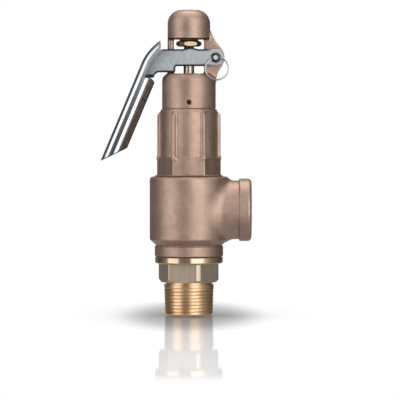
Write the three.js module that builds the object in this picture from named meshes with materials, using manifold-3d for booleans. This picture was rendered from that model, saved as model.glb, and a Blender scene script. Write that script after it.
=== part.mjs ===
// Pressure relief valve with a lifting lever, screwed inlet below and threaded outlet at the side.
// Millimetres. The origin is on the inlet's axis at its end face, +Z is up the spindle,
// +X points out of the outlet, and -Y is the side with the pin's ring.

import * as THREE from 'three';
import { mergeVertices } from 'three/addons/utils/BufferGeometryUtils.js';
import Module from 'manifold-3d';

const wasm = await Module();
wasm.setup();

// Faces round a full turn
const wideSides = 40;
const mediumSides = 30;
const smallSides = 20;
const wireSides = 6;
const arcSteps = 3;
const earSteps = 6;
const armEndSteps = 10;
const noseSteps = 7;
const domeSteps = 5;
const barrelArcSteps = 2;
const hexagonSides = 6;

// Clearances
const turnedGap = 0.3;
const runningGap = 0.4;
const contactPlay = 0.1;
const cutOverrun = 1;
const embedDepth = 2.5;

// Inlet nozzle: taper pipe thread, spanner hexagon, flange, seat
const threadDiameter = 26.44;
const threadGaugeLength = 9.5;
const threadTaperShare = 1 / 16;
const threadLength = 16.8;
const threadStartChamfer = 0.9;
const reliefLength = 1.2;
const reliefDiameter = 25.2;
const inletBoreDiameter = 16;
const inletMouthDiameter = 18.4;
const inletMouthDepth = 1.6;
const nozzleHexFlats = 29;
const nozzleHexHeight = 10;
const nozzleHexChamfer = 1.7;
const nozzleHexTurn = -11.1;
const flangeDiameter = 36.8;
const flangeThickness = 3.6;
const flangeChamfer = 0.8;
const nozzleStubDiameter = 29.8;
const nozzleStubHeight = 12.4;
const seatNoseHeight = 3.8;
const seatLipDiameter = 18.6;

// Gaskets
const gasketThickness = 0.5;
const gasketMargin = 0.5;
const bonnetGasketWidth = 2.6;

// Body casting
const bodyDiameter = 42.4;
const bodyHeight = 42.9;
const bodyWall = 3.8;
const bodyTopRounding = 1.7;
const collarDiameter = 37;
const collarHeight = 5.9;
const collarGroove = 0.5;
const coneHeight = 3;
const outletRise = 24.9;
const outletReach = 33.8;
const outletNeckDiameter = 31.8;
const outletBandDiameter = 33.8;
const outletBandLength = 6.7;
const outletBandRounding = 2.2;
const outletBoreDiameter = 24.12;
const outletThreadDepth = 15;
const outletMouthDiameter = 27.2;
const outletMouthDepth = 1.4;
const outletPassageDiameter = 22;

// Bonnet casting, the spring housing
const bonnetHeight = 36;
const bonnetStubDiameter = 31;
const bonnetStubLength = 9;
const bonnetFootDiameter = 37;
const bonnetFootHeight = 0.6;
const bonnetHexFlats = 30;
const bonnetHexHeight = 9.4;
const barrelDiameter = 30.2;
const barrelRounding = 0.9;
const ribCircleDiameter = 34.2;
const ribWidth = 1.9;
const ribRounding = 2.2;
const ribTopDrop = 1.7;
const ribCount = 6;
const springChamberDiameter = 24.4;
const neckDiameter = 23.8;
const bonnetFloorThickness = 4.5;
const bonnetCrownThickness = 3.5;

// Guide bush in the bonnet's floor
const bushDiameter = 12;
const bushFlangeDiameter = 17;
const bushFlangeThickness = 1.3;
const bushProud = 0.4;

// Disc, its seat ring, screw, ball and cross pin
const seatGap = 0.3;
const seatRingThickness = 2.5;
const seatRingDiameter = 20.4;
const seatRingBore = 11.4;
const seatRingProud = 0.5;
const discDiameter = 23.4;
const discThickness = 5.2;
const discHeadroom = 3.7;
const hubDiameter = 12.4;
const socketFloorRise = 0.4;
const seatScrewHeadDiameter = 13.6;
const seatScrewHeadHeight = 1.8;
const seatScrewDiameter = 4;
const seatScrewLength = 6.2;
const seatScrewSlotWidth = 1.2;
const ballDiameter = 3;
const discPinDiameter = 2;
const discPinInset = 2.4;

// Spindle
const spindleDiameter = 5.8;
const spindleCollarDiameter = 9.4;
const spindleCollarHeight = 2;
const spindleCollarGap = 0.6;
const spindleTipLength = 2.8;
const spindleTipChamfer = 0.7;

// Spring and its plates
const springMeanDiameter = 17.8;
const springWireDiameter = 2.2;
const springTurns = 7;
const springEndTurns = 1;
const springEndGap = 0.6;
const springStepsPerTurn = 8;
const springWireSides = 5;
const plateDiameter = 23.2;
const plateThickness = 3;
const plateSpigotDiameter = 14.6;
const plateSpigotHeight = 2;
const plateHeadroom = 2;

// Adjusting screw and its lock nut
const adjustingScrewDiameter = 12;
const adjustingScrewProud = 2;
const adjustingScrewHeadroom = 2;
const adjustingSlotWidth = 2.4;
const adjustingSlotDepth = 1.6;
const adjustingNutFlats = 19;
const adjustingNutThickness = 5;

// Cap casting: skirt, window with pillars, ear and dome
const skirtDiameter = 29;
const skirtHeight = 19.1;
const skirtRounding = 3.8;
const capBoreDiameter = 24.4;
const capRoofThickness = 3.6;
const windowWidth = 16.2;
const windowHeight = 18.5;
const pillarThickness = 7.2;
const domeDiameter = 23;
const domeHeight = 15.9;
const domeRounding = 8.1;
const domeCavityDiameter = 16.4;
const stemHeadroom = 4;
const pivotReach = 14.4;
const pivotRise = 8.6;
const earRadius = 4.8;
const earUpperAngle = 35;
const earLowerAngle = -27;
const earTopRise = 3.9;
const earTopWaistShares = [0.48, 0.22];
const earFootDrop = 3;
const earFootReach = 0.9;
const capHoleDiameter = 2.6;

// Set screw of the cap
const setScrewDiameter = 2;
const setScrewRecess = 0.8;
const setScrewBite = 1.4;
const setScrewHeightShare = 0.55;

// Lifting lever, pressed from sheet
const sheetThickness = 1.5;
const leverWidth = 11;
const leverBend = 4;
const leverChannelDepth = 8;
const armDepth = 9.1;
const armEndRadius = 4.5;
const humpRise = 0.8;
const humpHalfLength = 3.5;
const humpOffset = 0.9;
const heelReach = 7.3;
const heelDrop = 7.9;
const noseReach = 15.3;
const noseRise = 9.3;
const noseSlope = 35;
const backReach = 25.5;
const backDrop = 2.7;
const gripLean = 22.8;
const gripLength = 57.6;
const gripStart = 5.6;
const gripDepth = 10.6;
const gripRoll = 4.2;
const gripSlit = 2;
const gripCutAngle = 25.7;
const throatShares = [[0.38, 0.03], [0.62, 0.1], [0.86, 0.5]];

// Pivot pin and the ring through it
const pivotPinDiameter = 4.4;
const pivotPinChamfer = 0.5;
const pivotHeadDiameter = 7;
const pivotHeadThickness = 1.6;
const crossHoleInset = 2.1;
const crossHoleDiameter = 2.1;
const crossHoleMargin = 1.3;
const ringRadius = 6.2;
const ringWireDiameter = 0.9;
const ringHangAngle = 6.5;

// Nuts on the spindle
const liftingGap = 0.6;
const liftingNutFlats = 12;
const liftingNutThickness = 3.1;
const liftingNutChamfer = 1.1;
const lockNutFlats = 10;
const lockNutThickness = 2.8;
const lockNutChamfer = 0.6;
const lockNutTurn = 30;

// Heights worked out from the sizes above, from the inlet's end face up
const nozzleHexBottom = threadLength + reliefLength;
const flangeBottom = nozzleHexBottom + nozzleHexHeight;
const flangeTop = flangeBottom + flangeThickness;
const nozzleStubTop = flangeTop + nozzleStubHeight;
const seatTop = nozzleStubTop + seatNoseHeight;
const bodyBottom = flangeTop + gasketThickness;
const bodyTop = bodyBottom + bodyHeight;
const chamberFloor = bodyBottom + collarHeight + coneHeight;
const outletAxis = bodyBottom + outletRise;
const bonnetFoot = bodyTop + gasketThickness;
const bonnetTop = bonnetFoot + bonnetHeight;
const bonnetStubBottom = bonnetFoot - bonnetStubLength;
const springChamberFloor = bonnetStubBottom + bonnetFloorThickness;
const springChamberTop = bonnetTop - bonnetCrownThickness;
const bonnetHexTop = bonnetFoot + bonnetFootHeight + bonnetHexHeight;
const windowBottom = bonnetTop + skirtHeight;
const windowTop = windowBottom + windowHeight;
const domeTop = windowTop + domeHeight;
const capRoofBottom = windowBottom - capRoofThickness;
const adjustingScrewTop = capRoofBottom - adjustingScrewHeadroom;
const neckTop = adjustingScrewTop - adjustingScrewProud - adjustingNutThickness;
const neckHeight = neckTop - bonnetTop;
const setScrewHeight = bonnetTop + neckHeight * setScrewHeightShare;
const pivotHeight = windowBottom + pivotRise;
const armTop = pivotHeight + armDepth / 2;
const armBottom = pivotHeight - armDepth / 2;
const liftingNutBottom = armTop + humpRise + liftingGap;
const liftingNutTop = liftingNutBottom + liftingNutThickness;
const lockNutTop = liftingNutTop + lockNutThickness;
const spindleTop = lockNutTop + spindleTipLength;
const domeCavityTop = spindleTop + stemHeadroom;
const bushBottom = bonnetStubBottom - bushFlangeThickness;
const bushTop = springChamberFloor + bushProud;
const seatRingBottom = seatTop + seatGap;
const discBottom = seatRingBottom + seatRingProud;
const discTop = discBottom + discThickness;
const hubTop = bushBottom - discHeadroom;
const socketFloor = discTop + socketFloorRise;
const spindleBottom = socketFloor + ballDiameter + 2 * contactPlay;
const discPinHeight = spindleBottom + discPinInset;
const spindleCollarBottom = bushTop + spindleCollarGap;
const lowerPlateBottom = spindleCollarBottom + spindleCollarHeight;
const lowerPlateTop = lowerPlateBottom + plateThickness;
const upperPlateTop = springChamberTop - plateHeadroom;
const upperPlateBottom = upperPlateTop - plateThickness;

// Bores that follow the pieces in them
const spindleRadius = spindleDiameter / 2;
const spindleBoreRadius = spindleRadius + runningGap;
const bodyChamberRadius = bodyDiameter / 2 - bodyWall;
const neckRadius = neckDiameter / 2;
const pivotHoleRadius = pivotPinDiameter / 2 + turnedGap;
const armOuter = leverWidth / 2;
const pivotPinFront = armOuter + crossHoleInset + crossHoleMargin;
const crossHoleFront = armOuter + crossHoleInset;

// Small tools for closed solids

function solidOf(geometry) {
  const bare = geometry.clone();
  bare.deleteAttribute('normal');
  bare.deleteAttribute('uv');
  const merged = mergeVertices(bare);
  const vertProperties = new Float32Array(merged.attributes.position.array);
  const triVerts = new Uint32Array(merged.index.array);
  return new wasm.Manifold(new wasm.Mesh({ numProp: 3, vertProperties, triVerts }));
}

function geometryOf(solid) {
  const mesh = solid.getMesh();
  const geometry = new THREE.BufferGeometry();
  geometry.setAttribute('position', new THREE.BufferAttribute(new Float32Array(mesh.vertProperties), 3));
  geometry.setIndex(new THREE.BufferAttribute(new Uint32Array(mesh.triVerts), 1));
  geometry.computeVertexNormals();
  return geometry;
}

function radians(degrees) {
  return THREE.MathUtils.degToRad(degrees);
}

// Solid of revolution about Z from [radius, height] points, listed upwards
function turned(profile, sides) {
  const points = profile.map(([radius, height]) => new THREE.Vector2(radius, height));
  const geometry = new THREE.LatheGeometry(points, sides);
  geometry.rotateX(Math.PI / 2);
  return solidOf(geometry);
}

function rod(radius, bottom, top, sides = smallSides) {
  return turned([[0, bottom], [radius, bottom], [radius, top], [0, top]], sides);
}

function ring(innerRadius, outerRadius, bottom, top, sides = mediumSides) {
  const profile = [
    [innerRadius, bottom],
    [outerRadius, bottom],
    [outerRadius, top],
    [innerRadius, top],
    [innerRadius, bottom],
  ];
  return turned(profile, sides);
}

function along(axis, solid) {
  return axis === 'x' ? solid.rotate([0, 90, 0]) : solid.rotate([90, 0, 0]);
}

function hexagonRadius(flats) {
  return flats / Math.sqrt(3);
}

// Hexagon bar, one corner at the given angle from +X
function hexagonBar(flats, bottom, top, turn = 0) {
  return rod(hexagonRadius(flats), bottom, top, hexagonSides).rotate([0, 0, turn - 90]);
}

// Hexagon nut blank with both faces chamfered by a turned form
function chamferedHexagon(flats, bottom, top, chamfer, turn = 0) {
  const corner = hexagonRadius(flats) + contactPlay;
  const rim = corner - chamfer * Math.sqrt(3);
  const form = [
    [0, bottom],
    [rim, bottom],
    [corner, bottom + chamfer],
    [corner, top - chamfer],
    [rim, top],
    [0, top],
  ];
  return hexagonBar(flats, bottom, top, turn).intersect(turned(form, mediumSides));
}

// Quarter round of a turned profile, from the side wall inwards to the top face
function shoulderArc(radius, top, rounding, steps = arcSteps) {
  return Array.from({ length: steps + 1 }, (_, step) => {
    const angle = (step / steps) * (Math.PI / 2);
    return [radius - rounding * (1 - Math.cos(angle)), top - rounding * (1 - Math.sin(angle))];
  });
}

// Plate of an outline drawn in X and Z, lying between two values of Y
function plateAcross(outline, low, thickness, curveSegments) {
  const options = { depth: thickness, bevelEnabled: false, curveSegments };
  const geometry = new THREE.ExtrudeGeometry(outline, options);
  geometry.rotateX(Math.PI / 2);
  geometry.translate(0, low + thickness, 0);
  return solidOf(geometry);
}

function blockBetween(low, high) {
  const geometry = new THREE.BoxGeometry(high[0] - low[0], high[1] - low[1], high[2] - low[2]);
  geometry.translate((high[0] + low[0]) / 2, (high[1] + low[1]) / 2, (high[2] + low[2]) / 2);
  return solidOf(geometry);
}

// Closed skin over a row of sections that have the same number of points
function skinOver(sections, capTriangles) {
  const count = sections[0].length;
  const last = (sections.length - 1) * count;
  const positions = sections.flat().flatMap((point) => [point.x, point.y, point.z]);
  const index = [];
  for (let row = 0; row < sections.length - 1; row += 1) {
    for (let side = 0; side < count; side += 1) {
      const here = row * count + side;
      const next = row * count + ((side + 1) % count);
      index.push(here, next, next + count, here, next + count, here + count);
    }
  }
  for (const [a, b, c] of capTriangles) {
    index.push(a, c, b, last + a, last + b, last + c);
  }
  const geometry = new THREE.BufferGeometry();
  geometry.setAttribute('position', new THREE.Float32BufferAttribute(positions, 3));
  geometry.setIndex(index);
  return geometry;
}

// Inlet nozzle

function threadRadiusAt(height) {
  return threadDiameter / 2 + ((height - threadGaugeLength) * threadTaperShare) / 2;
}

function inletNozzle() {
  const startRadius = threadRadiusAt(0);
  const stubRadius = nozzleStubDiameter / 2;
  const flangeRadius = flangeDiameter / 2;
  const shank = turned([
    [0, 0],
    [startRadius - threadStartChamfer, 0],
    [threadRadiusAt(threadStartChamfer), threadStartChamfer],
    [threadRadiusAt(threadLength), threadLength],
    [reliefDiameter / 2, threadLength],
    [reliefDiameter / 2, nozzleHexBottom],
    [reliefDiameter / 2, flangeBottom],
    [flangeRadius - flangeChamfer, flangeBottom],
    [flangeRadius, flangeBottom + flangeChamfer],
    [flangeRadius, flangeTop],
    [stubRadius, flangeTop],
    [stubRadius, nozzleStubTop],
    [seatLipDiameter / 2, seatTop],
    [0, seatTop],
  ], wideSides);
  const cornerRadius = hexagonRadius(nozzleHexFlats) + contactPlay;
  const hexagonForm = turned([
    [0, nozzleHexBottom],
    [cornerRadius - nozzleHexChamfer, nozzleHexBottom],
    [cornerRadius, nozzleHexBottom + nozzleHexChamfer],
    [cornerRadius, flangeBottom + flangeChamfer],
    [0, flangeBottom + flangeChamfer],
  ], wideSides);
  const hexagon = hexagonBar(
    nozzleHexFlats,
    nozzleHexBottom,
    flangeBottom + flangeChamfer,
    nozzleHexTurn,
  ).intersect(hexagonForm);
  const bore = turned([
    [0, -cutOverrun],
    [inletMouthDiameter / 2 + cutOverrun, -cutOverrun],
    [inletBoreDiameter / 2, inletMouthDepth],
    [inletBoreDiameter / 2, seatTop + cutOverrun],
    [0, seatTop + cutOverrun],
  ], wideSides);
  return shank.add(hexagon).subtract(bore);
}

function nozzleGasket() {
  const inner = nozzleStubDiameter / 2 + gasketMargin;
  const outer = Math.min(flangeDiameter, collarDiameter) / 2 - gasketMargin;
  return ring(inner, outer, flangeTop, bodyBottom);
}

// Body casting with its side outlet

function bodyShell() {
  const collarRadius = collarDiameter / 2;
  const coneTop = bodyBottom + collarHeight + coneHeight;
  return turned([
    [0, bodyBottom],
    [collarRadius, bodyBottom],
    [collarRadius, bodyBottom + collarHeight - collarGroove],
    [collarRadius - collarGroove, bodyBottom + collarHeight - collarGroove],
    [collarRadius - collarGroove, bodyBottom + collarHeight],
    [bodyDiameter / 2, coneTop],
    ...shoulderArc(bodyDiameter / 2, bodyTop, bodyTopRounding),
    [0, bodyTop],
  ], wideSides);
}

// The branch is cut level with the machined top face, where the bonnet's foot lies
function outletBranch() {
  const bandStart = outletReach - outletBandLength;
  const branch = turned([
    [0, 0],
    [outletNeckDiameter / 2, 0],
    [outletNeckDiameter / 2, bandStart],
    [outletBandDiameter / 2, bandStart],
    ...shoulderArc(outletBandDiameter / 2, outletReach, outletBandRounding),
    [0, outletReach],
  ], wideSides);
  return along('x', branch).translate([0, 0, outletAxis]).trimByPlane([0, 0, -1], -bodyTop);
}

function outletBore() {
  const threadRadius = outletBoreDiameter / 2;
  const threadEnd = outletReach - outletThreadDepth;
  const bore = turned([
    [0, 0],
    [outletPassageDiameter / 2, 0],
    [outletPassageDiameter / 2, threadEnd],
    [threadRadius - (outletThreadDepth * threadTaperShare) / 2, threadEnd],
    [threadRadius, outletReach - outletMouthDepth],
    [outletMouthDiameter / 2, outletReach],
    [outletMouthDiameter / 2, outletReach + cutOverrun],
    [0, outletReach + cutOverrun],
  ], wideSides);
  return along('x', bore).translate([0, 0, outletAxis]);
}

function valveBody() {
  const nozzleBore = nozzleStubDiameter / 2 + turnedGap;
  const bonnetBore = bonnetStubDiameter / 2 + turnedGap;
  const chamberTop = bonnetStubBottom - turnedGap;
  const chamber = turned([
    [0, bodyBottom - cutOverrun],
    [nozzleBore, bodyBottom - cutOverrun],
    [nozzleBore, chamberFloor],
    [bodyChamberRadius, chamberFloor],
    [bodyChamberRadius, chamberTop],
    [bonnetBore, chamberTop],
    [bonnetBore, bodyTop + cutOverrun],
    [0, bodyTop + cutOverrun],
  ], wideSides);
  return bodyShell().add(outletBranch()).subtract(chamber).subtract(outletBore());
}

function bonnetGasket() {
  const inner = bonnetStubDiameter / 2 + turnedGap;
  return ring(inner, inner + bonnetGasketWidth, bodyTop, bonnetFoot);
}

// Bonnet casting: stub, hexagon, ribbed barrel and neck

function bonnetRib(index) {
  const root = springChamberDiameter / 2 + turnedGap;
  const crest = ribCircleDiameter / 2;
  const top = bonnetTop - ribTopDrop;
  const outline = new THREE.Shape();
  outline.moveTo(root, bonnetHexTop - embedDepth);
  outline.lineTo(crest, bonnetHexTop - embedDepth);
  outline.lineTo(crest, top - ribRounding);
  outline.absarc(crest - ribRounding, top - ribRounding, ribRounding, 0, Math.PI / 2, false);
  outline.lineTo(root, top);
  outline.closePath();
  return plateAcross(outline, -ribWidth / 2, ribWidth, arcSteps).rotate([0, 0, (index * 360) / ribCount]);
}

function bonnet() {
  const footTop = bonnetFoot + bonnetFootHeight;
  const barrelRadius = barrelDiameter / 2;
  const bushHole = bushDiameter / 2 + turnedGap;
  const screwHole = adjustingScrewDiameter / 2 + turnedGap;
  let casting = turned([
    [0, bonnetStubBottom],
    [bonnetStubDiameter / 2, bonnetStubBottom],
    [bonnetStubDiameter / 2, bonnetFoot],
    [bonnetFootDiameter / 2, bonnetFoot],
    [hexagonRadius(bonnetHexFlats), footTop],
    [barrelRadius, footTop],
    ...shoulderArc(barrelRadius, bonnetTop, barrelRounding, barrelArcSteps),
    [neckRadius, bonnetTop],
    [neckRadius, neckTop],
    [0, neckTop],
  ], wideSides);
  casting = casting.add(hexagonBar(bonnetHexFlats, bonnetFoot + turnedGap, bonnetHexTop));
  for (let index = 0; index < ribCount; index += 1) {
    casting = casting.add(bonnetRib(index));
  }
  const cavity = turned([
    [0, bonnetStubBottom - cutOverrun],
    [bushHole, bonnetStubBottom - cutOverrun],
    [bushHole, springChamberFloor],
    [springChamberDiameter / 2, springChamberFloor],
    [springChamberDiameter / 2, springChamberTop],
    [screwHole, springChamberTop],
    [screwHole, neckTop + cutOverrun],
    [0, neckTop + cutOverrun],
  ], wideSides);
  const dimpleDepth = setScrewBite + turnedGap;
  const dimple = along('y', rod(capHoleDiameter / 2, neckRadius - dimpleDepth, neckRadius + cutOverrun));
  return casting.subtract(cavity).subtract(dimple.translate([0, 0, setScrewHeight]));
}

function guideBush() {
  return turned([
    [spindleBoreRadius, bushBottom],
    [bushFlangeDiameter / 2, bushBottom],
    [bushFlangeDiameter / 2, bonnetStubBottom],
    [bushDiameter / 2, bonnetStubBottom],
    [bushDiameter / 2, bushTop],
    [spindleBoreRadius, bushTop],
    [spindleBoreRadius, bushBottom],
  ], mediumSides);
}

// Disc with its seat ring, screw, ball and cross pin

function valveDisc() {
  const recessTop = seatRingBottom + seatRingThickness;
  const screwHoleTop = Math.min(seatRingBottom + seatScrewLength, discTop);
  const recess = rod(seatRingDiameter / 2 + turnedGap, discBottom - cutOverrun, recessTop, mediumSides);
  const screwHole = rod(seatScrewDiameter / 2 + turnedGap, discBottom, screwHoleTop);
  const socket = rod(spindleRadius + turnedGap, socketFloor, hubTop + cutOverrun);
  const pinHole = rod(discPinDiameter / 2 + turnedGap, -hubDiameter, hubDiameter);
  return turned([
    [0, discBottom],
    [discDiameter / 2, discBottom],
    [discDiameter / 2, discTop],
    [hubDiameter / 2, discTop],
    [hubDiameter / 2, hubTop],
    [0, hubTop],
  ], mediumSides)
    .subtract(recess)
    .subtract(screwHole)
    .subtract(socket)
    .subtract(along('y', pinHole).translate([0, 0, discPinHeight]));
}

function seatRing() {
  return ring(seatRingBore / 2, seatRingDiameter / 2, seatRingBottom, seatRingBottom + seatRingThickness);
}

function seatScrew() {
  const headTop = seatRingBottom;
  const headBottom = headTop - seatScrewHeadHeight;
  const tip = Math.min(seatRingBottom + seatScrewLength, discTop) - turnedGap;
  const screw = turned([
    [0, headBottom],
    [seatScrewHeadDiameter / 2, headBottom],
    [seatScrewHeadDiameter / 2, headTop],
    [seatScrewDiameter / 2, headTop],
    [seatScrewDiameter / 2, tip],
    [0, tip],
  ], smallSides);
  const halfSlot = seatScrewSlotWidth / 2;
  const slot = blockBetween(
    [-seatScrewHeadDiameter, -halfSlot, headBottom - cutOverrun],
    [seatScrewHeadDiameter, halfSlot, headBottom + seatScrewHeadHeight / 2],
  );
  return screw.subtract(slot);
}

function thrustBall() {
  const geometry = new THREE.SphereGeometry(ballDiameter / 2, smallSides / 2, smallSides / 3);
  geometry.rotateX(Math.PI / 2);
  geometry.translate(0, 0, socketFloor + contactPlay + ballDiameter / 2);
  return solidOf(geometry);
}

function discPin() {
  const halfLength = hubDiameter / 2 - contactPlay;
  return along('y', rod(discPinDiameter / 2, -halfLength, halfLength)).translate([0, 0, discPinHeight]);
}

// Spindle

function spindle() {
  const stem = turned([
    [0, spindleBottom],
    [spindleRadius, spindleBottom],
    [spindleRadius, spindleCollarBottom],
    [spindleCollarDiameter / 2, spindleCollarBottom],
    [spindleCollarDiameter / 2, lowerPlateBottom],
    [spindleRadius, lowerPlateBottom],
    [spindleRadius, spindleTop - spindleTipChamfer],
    [spindleRadius - spindleTipChamfer, spindleTop],
    [0, spindleTop],
  ], smallSides);
  const pinHole = along('y', rod(discPinDiameter / 2 + turnedGap, -spindleDiameter, spindleDiameter));
  return stem.subtract(pinHole.translate([0, 0, discPinHeight]));
}

// Spring and its plates

function springPlate(face, spigotEnd, back) {
  const bore = spindleRadius + turnedGap;
  const plate = ring(bore, plateDiameter / 2, Math.min(face, back), Math.max(face, back));
  const low = Math.min(face, spigotEnd) - (spigotEnd > face ? contactPlay : 0);
  const high = Math.max(face, spigotEnd) + (spigotEnd > face ? 0 : contactPlay);
  return plate.add(ring(bore, plateSpigotDiameter / 2, low, high));
}

function lowerSpringPlate() {
  return springPlate(lowerPlateTop, lowerPlateTop + plateSpigotHeight, lowerPlateBottom);
}

function upperSpringPlate() {
  return springPlate(upperPlateBottom, upperPlateBottom - plateSpigotHeight, upperPlateTop);
}

function springCentre(turn) {
  const wireRadius = springWireDiameter / 2;
  const bottom = lowerPlateTop + turnedGap + wireRadius;
  const rise = upperPlateBottom - turnedGap - wireRadius - bottom;
  const endPitch = springWireDiameter + springEndGap;
  const openPitch = (rise - 2 * springEndTurns * endPitch) / (springTurns - 2 * springEndTurns);
  const lowEnd = Math.min(turn, springEndTurns);
  const highEnd = Math.max(turn - (springTurns - springEndTurns), 0);
  const open = turn - lowEnd - highEnd;
  const angle = turn * 2 * Math.PI;
  const height = bottom + (lowEnd + highEnd) * endPitch + open * openPitch;
  const radius = springMeanDiameter / 2;
  return new THREE.Vector3(radius * Math.cos(angle), radius * Math.sin(angle), height);
}

function springSection(turn) {
  const centre = springCentre(turn);
  const outward = new THREE.Vector3(centre.x, centre.y, 0).normalize();
  return Array.from({ length: springWireSides }, (_, side) => {
    const angle = (-side / springWireSides) * 2 * Math.PI;
    const across = (springWireDiameter / 2) * Math.cos(angle);
    const up = (springWireDiameter / 2) * Math.sin(angle);
    return centre.clone().addScaledVector(outward, across).setZ(centre.z + up);
  });
}

function mainSpring() {
  const steps = springTurns * springStepsPerTurn;
  const sections = Array.from({ length: steps + 1 }, (_, step) => springSection(step / springStepsPerTurn));
  const fan = Array.from({ length: springWireSides - 2 }, (_, side) => [0, side + 1, side + 2]);
  return solidOf(skinOver(sections, fan));
}

function leastSpringGap() {
  const turnPoints = Array.from({ length: springTurns * springStepsPerTurn + 1 }, (_, step) =>
    springCentre(step / springStepsPerTurn));
  let least = Infinity;
  turnPoints.forEach((point, index) => {
    for (const other of turnPoints.slice(index + springStepsPerTurn / 2)) {
      least = Math.min(least, point.distanceTo(other) - springWireDiameter);
    }
  });
  return least;
}

// Adjusting screw and its lock nut

function adjustingScrew() {
  const screw = ring(spindleBoreRadius, adjustingScrewDiameter / 2, upperPlateTop, adjustingScrewTop);
  const slot = blockBetween(
    [-adjustingScrewDiameter, -adjustingSlotWidth / 2, adjustingScrewTop - adjustingSlotDepth],
    [adjustingScrewDiameter, adjustingSlotWidth / 2, adjustingScrewTop + cutOverrun],
  );
  return screw.subtract(slot);
}

function boredNut(flats, bottom, top, chamfer, boreRadius, turn) {
  const bore = rod(boreRadius, bottom - cutOverrun, top + cutOverrun);
  return chamferedHexagon(flats, bottom, top, chamfer, turn).subtract(bore);
}

function adjustingLockNut() {
  const bore = adjustingScrewDiameter / 2 + turnedGap;
  const top = neckTop + adjustingNutThickness;
  return boredNut(adjustingNutFlats, neckTop, top, lockNutChamfer, bore, 0);
}

// Cap casting

function earOutline() {
  const inner = windowWidth / 2;
  const domeRadius = domeDiameter / 2;
  const earTop = windowTop + earTopRise;
  const skirtRadius = skirtDiameter / 2;
  const arcEnd = radians(earUpperAngle);
  const upper = new THREE.Vector2(
    pivotReach + earRadius * Math.cos(arcEnd),
    pivotHeight + earRadius * Math.sin(arcEnd),
  );
  const [waistAcrossShare, waistShare] = earTopWaistShares;
  const outline = new THREE.Shape();
  outline.moveTo(inner, windowBottom - embedDepth);
  outline.lineTo(skirtRadius, windowBottom - earFootDrop);
  outline.lineTo(skirtRadius + earFootReach, windowBottom);
  outline.absarc(pivotReach, pivotHeight, earRadius, radians(earLowerAngle), arcEnd, false);
  outline.lineTo(
    upper.x + (domeRadius - upper.x) * (waistAcrossShare + (1 - waistAcrossShare) / 2),
    upper.y + (earTop - upper.y) * (waistAcrossShare + waistShare / 2),
  );
  outline.lineTo(domeRadius, earTop);
  outline.lineTo(inner, earTop);
  outline.closePath();
  return outline;
}

function leverCap() {
  const domeRadius = domeDiameter / 2;
  const half = pillarThickness / 2;
  const skirt = turned([
    [0, bonnetTop],
    [skirtDiameter / 2, bonnetTop],
    ...shoulderArc(skirtDiameter / 2, windowBottom, skirtRounding),
    [0, windowBottom],
  ], wideSides);
  const dome = turned([
    [0, windowTop],
    [domeRadius, windowTop],
    ...shoulderArc(domeRadius, domeTop, domeRounding, domeSteps),
    [0, domeTop],
  ], wideSides);
  const pillarBar = blockBetween(
    [-domeDiameter, -half, windowBottom - embedDepth],
    [-windowWidth / 2, half, windowTop + embedDepth],
  );
  const pillarForm = rod(domeRadius, windowBottom - embedDepth, windowTop + embedDepth, wideSides);
  const ear = plateAcross(earOutline(), -half, pillarThickness, earSteps);
  const bore = rod(capBoreDiameter / 2, bonnetTop - cutOverrun, capRoofBottom, wideSides);
  const roofHole = rod(spindleRadius + 2 * runningGap, capRoofBottom - cutOverrun, windowBottom + cutOverrun);
  const cavity = rod(domeCavityDiameter / 2, windowTop - cutOverrun, domeCavityTop, mediumSides);
  const pivotHole = along('y', rod(pivotHoleRadius, -pillarThickness, pillarThickness));
  const screwHole = along('y', rod(capHoleDiameter / 2, neckRadius, skirtDiameter / 2 + cutOverrun));
  return skirt
    .add(dome)
    .add(pillarBar.intersect(pillarForm))
    .add(ear)
    .subtract(bore)
    .subtract(roofHole)
    .subtract(cavity)
    .subtract(pivotHole.translate([pivotReach, 0, pivotHeight]))
    .subtract(screwHole.translate([0, 0, setScrewHeight]));
}

function capSetScrew() {
  const tip = neckRadius - setScrewBite;
  const head = skirtDiameter / 2 - setScrewRecess;
  return along('y', rod(setScrewDiameter / 2, tip, head)).translate([0, 0, setScrewHeight]);
}

// Lifting lever. Its side view is drawn in X and Z: a straight back that leans out and down,
// a curved nose above it, and two arms that reach from there to the pivot.

const backDirection = new THREE.Vector2(-Math.sin(radians(gripLean)), -Math.cos(radians(gripLean)));
const inwardDirection = new THREE.Vector2(-backDirection.y, backDirection.x);
const backStart = new THREE.Vector2(-backReach, pivotHeight - backDrop);
const noseTip = new THREE.Vector2(-noseReach, pivotHeight + noseRise);

function noseControl() {
  const slope = new THREE.Vector2(-Math.cos(radians(noseSlope)), -Math.sin(radians(noseSlope)));
  const apart = backStart.clone().sub(noseTip);
  const cross = slope.cross(backDirection);
  return noseTip.clone().addScaledVector(slope, apart.cross(backDirection) / cross);
}

const noseCurve = new THREE.QuadraticBezierCurve(noseTip, noseControl(), backStart);

function backPoint(distance) {
  return backStart.clone().addScaledVector(backDirection, distance);
}

// Outer line of the channel part, as places with the direction that points into the lever
function channelStations() {
  const curved = Array.from({ length: noseSteps + 1 }, (_, step) => {
    const share = step / noseSteps;
    const tangent = noseCurve.getTangent(share);
    return { place: noseCurve.getPoint(share), inward: new THREE.Vector2(-tangent.y, tangent.x) };
  });
  return [...curved, { place: backPoint(gripStart + sheetThickness), inward: inwardDirection }];
}

function cornerArc(centreAcross, centreSide, radius, from, to) {
  return Array.from({ length: arcSteps + 1 }, (_, step) => {
    const angle = radians(from + ((to - from) * step) / arcSteps);
    return [centreAcross + radius * Math.cos(angle), centreSide + radius * Math.sin(angle)];
  });
}

// One face of the bent sheet, set in from the outside by the given amount
function channelFace(inset) {
  const half = leverWidth / 2;
  return [
    [leverChannelDepth, half - inset],
    ...cornerArc(leverBend, half - leverBend, leverBend - inset, 90, 180),
    ...cornerArc(leverBend, leverBend - half, leverBend - inset, 180, 270),
    [leverChannelDepth, inset - half],
  ];
}

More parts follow.
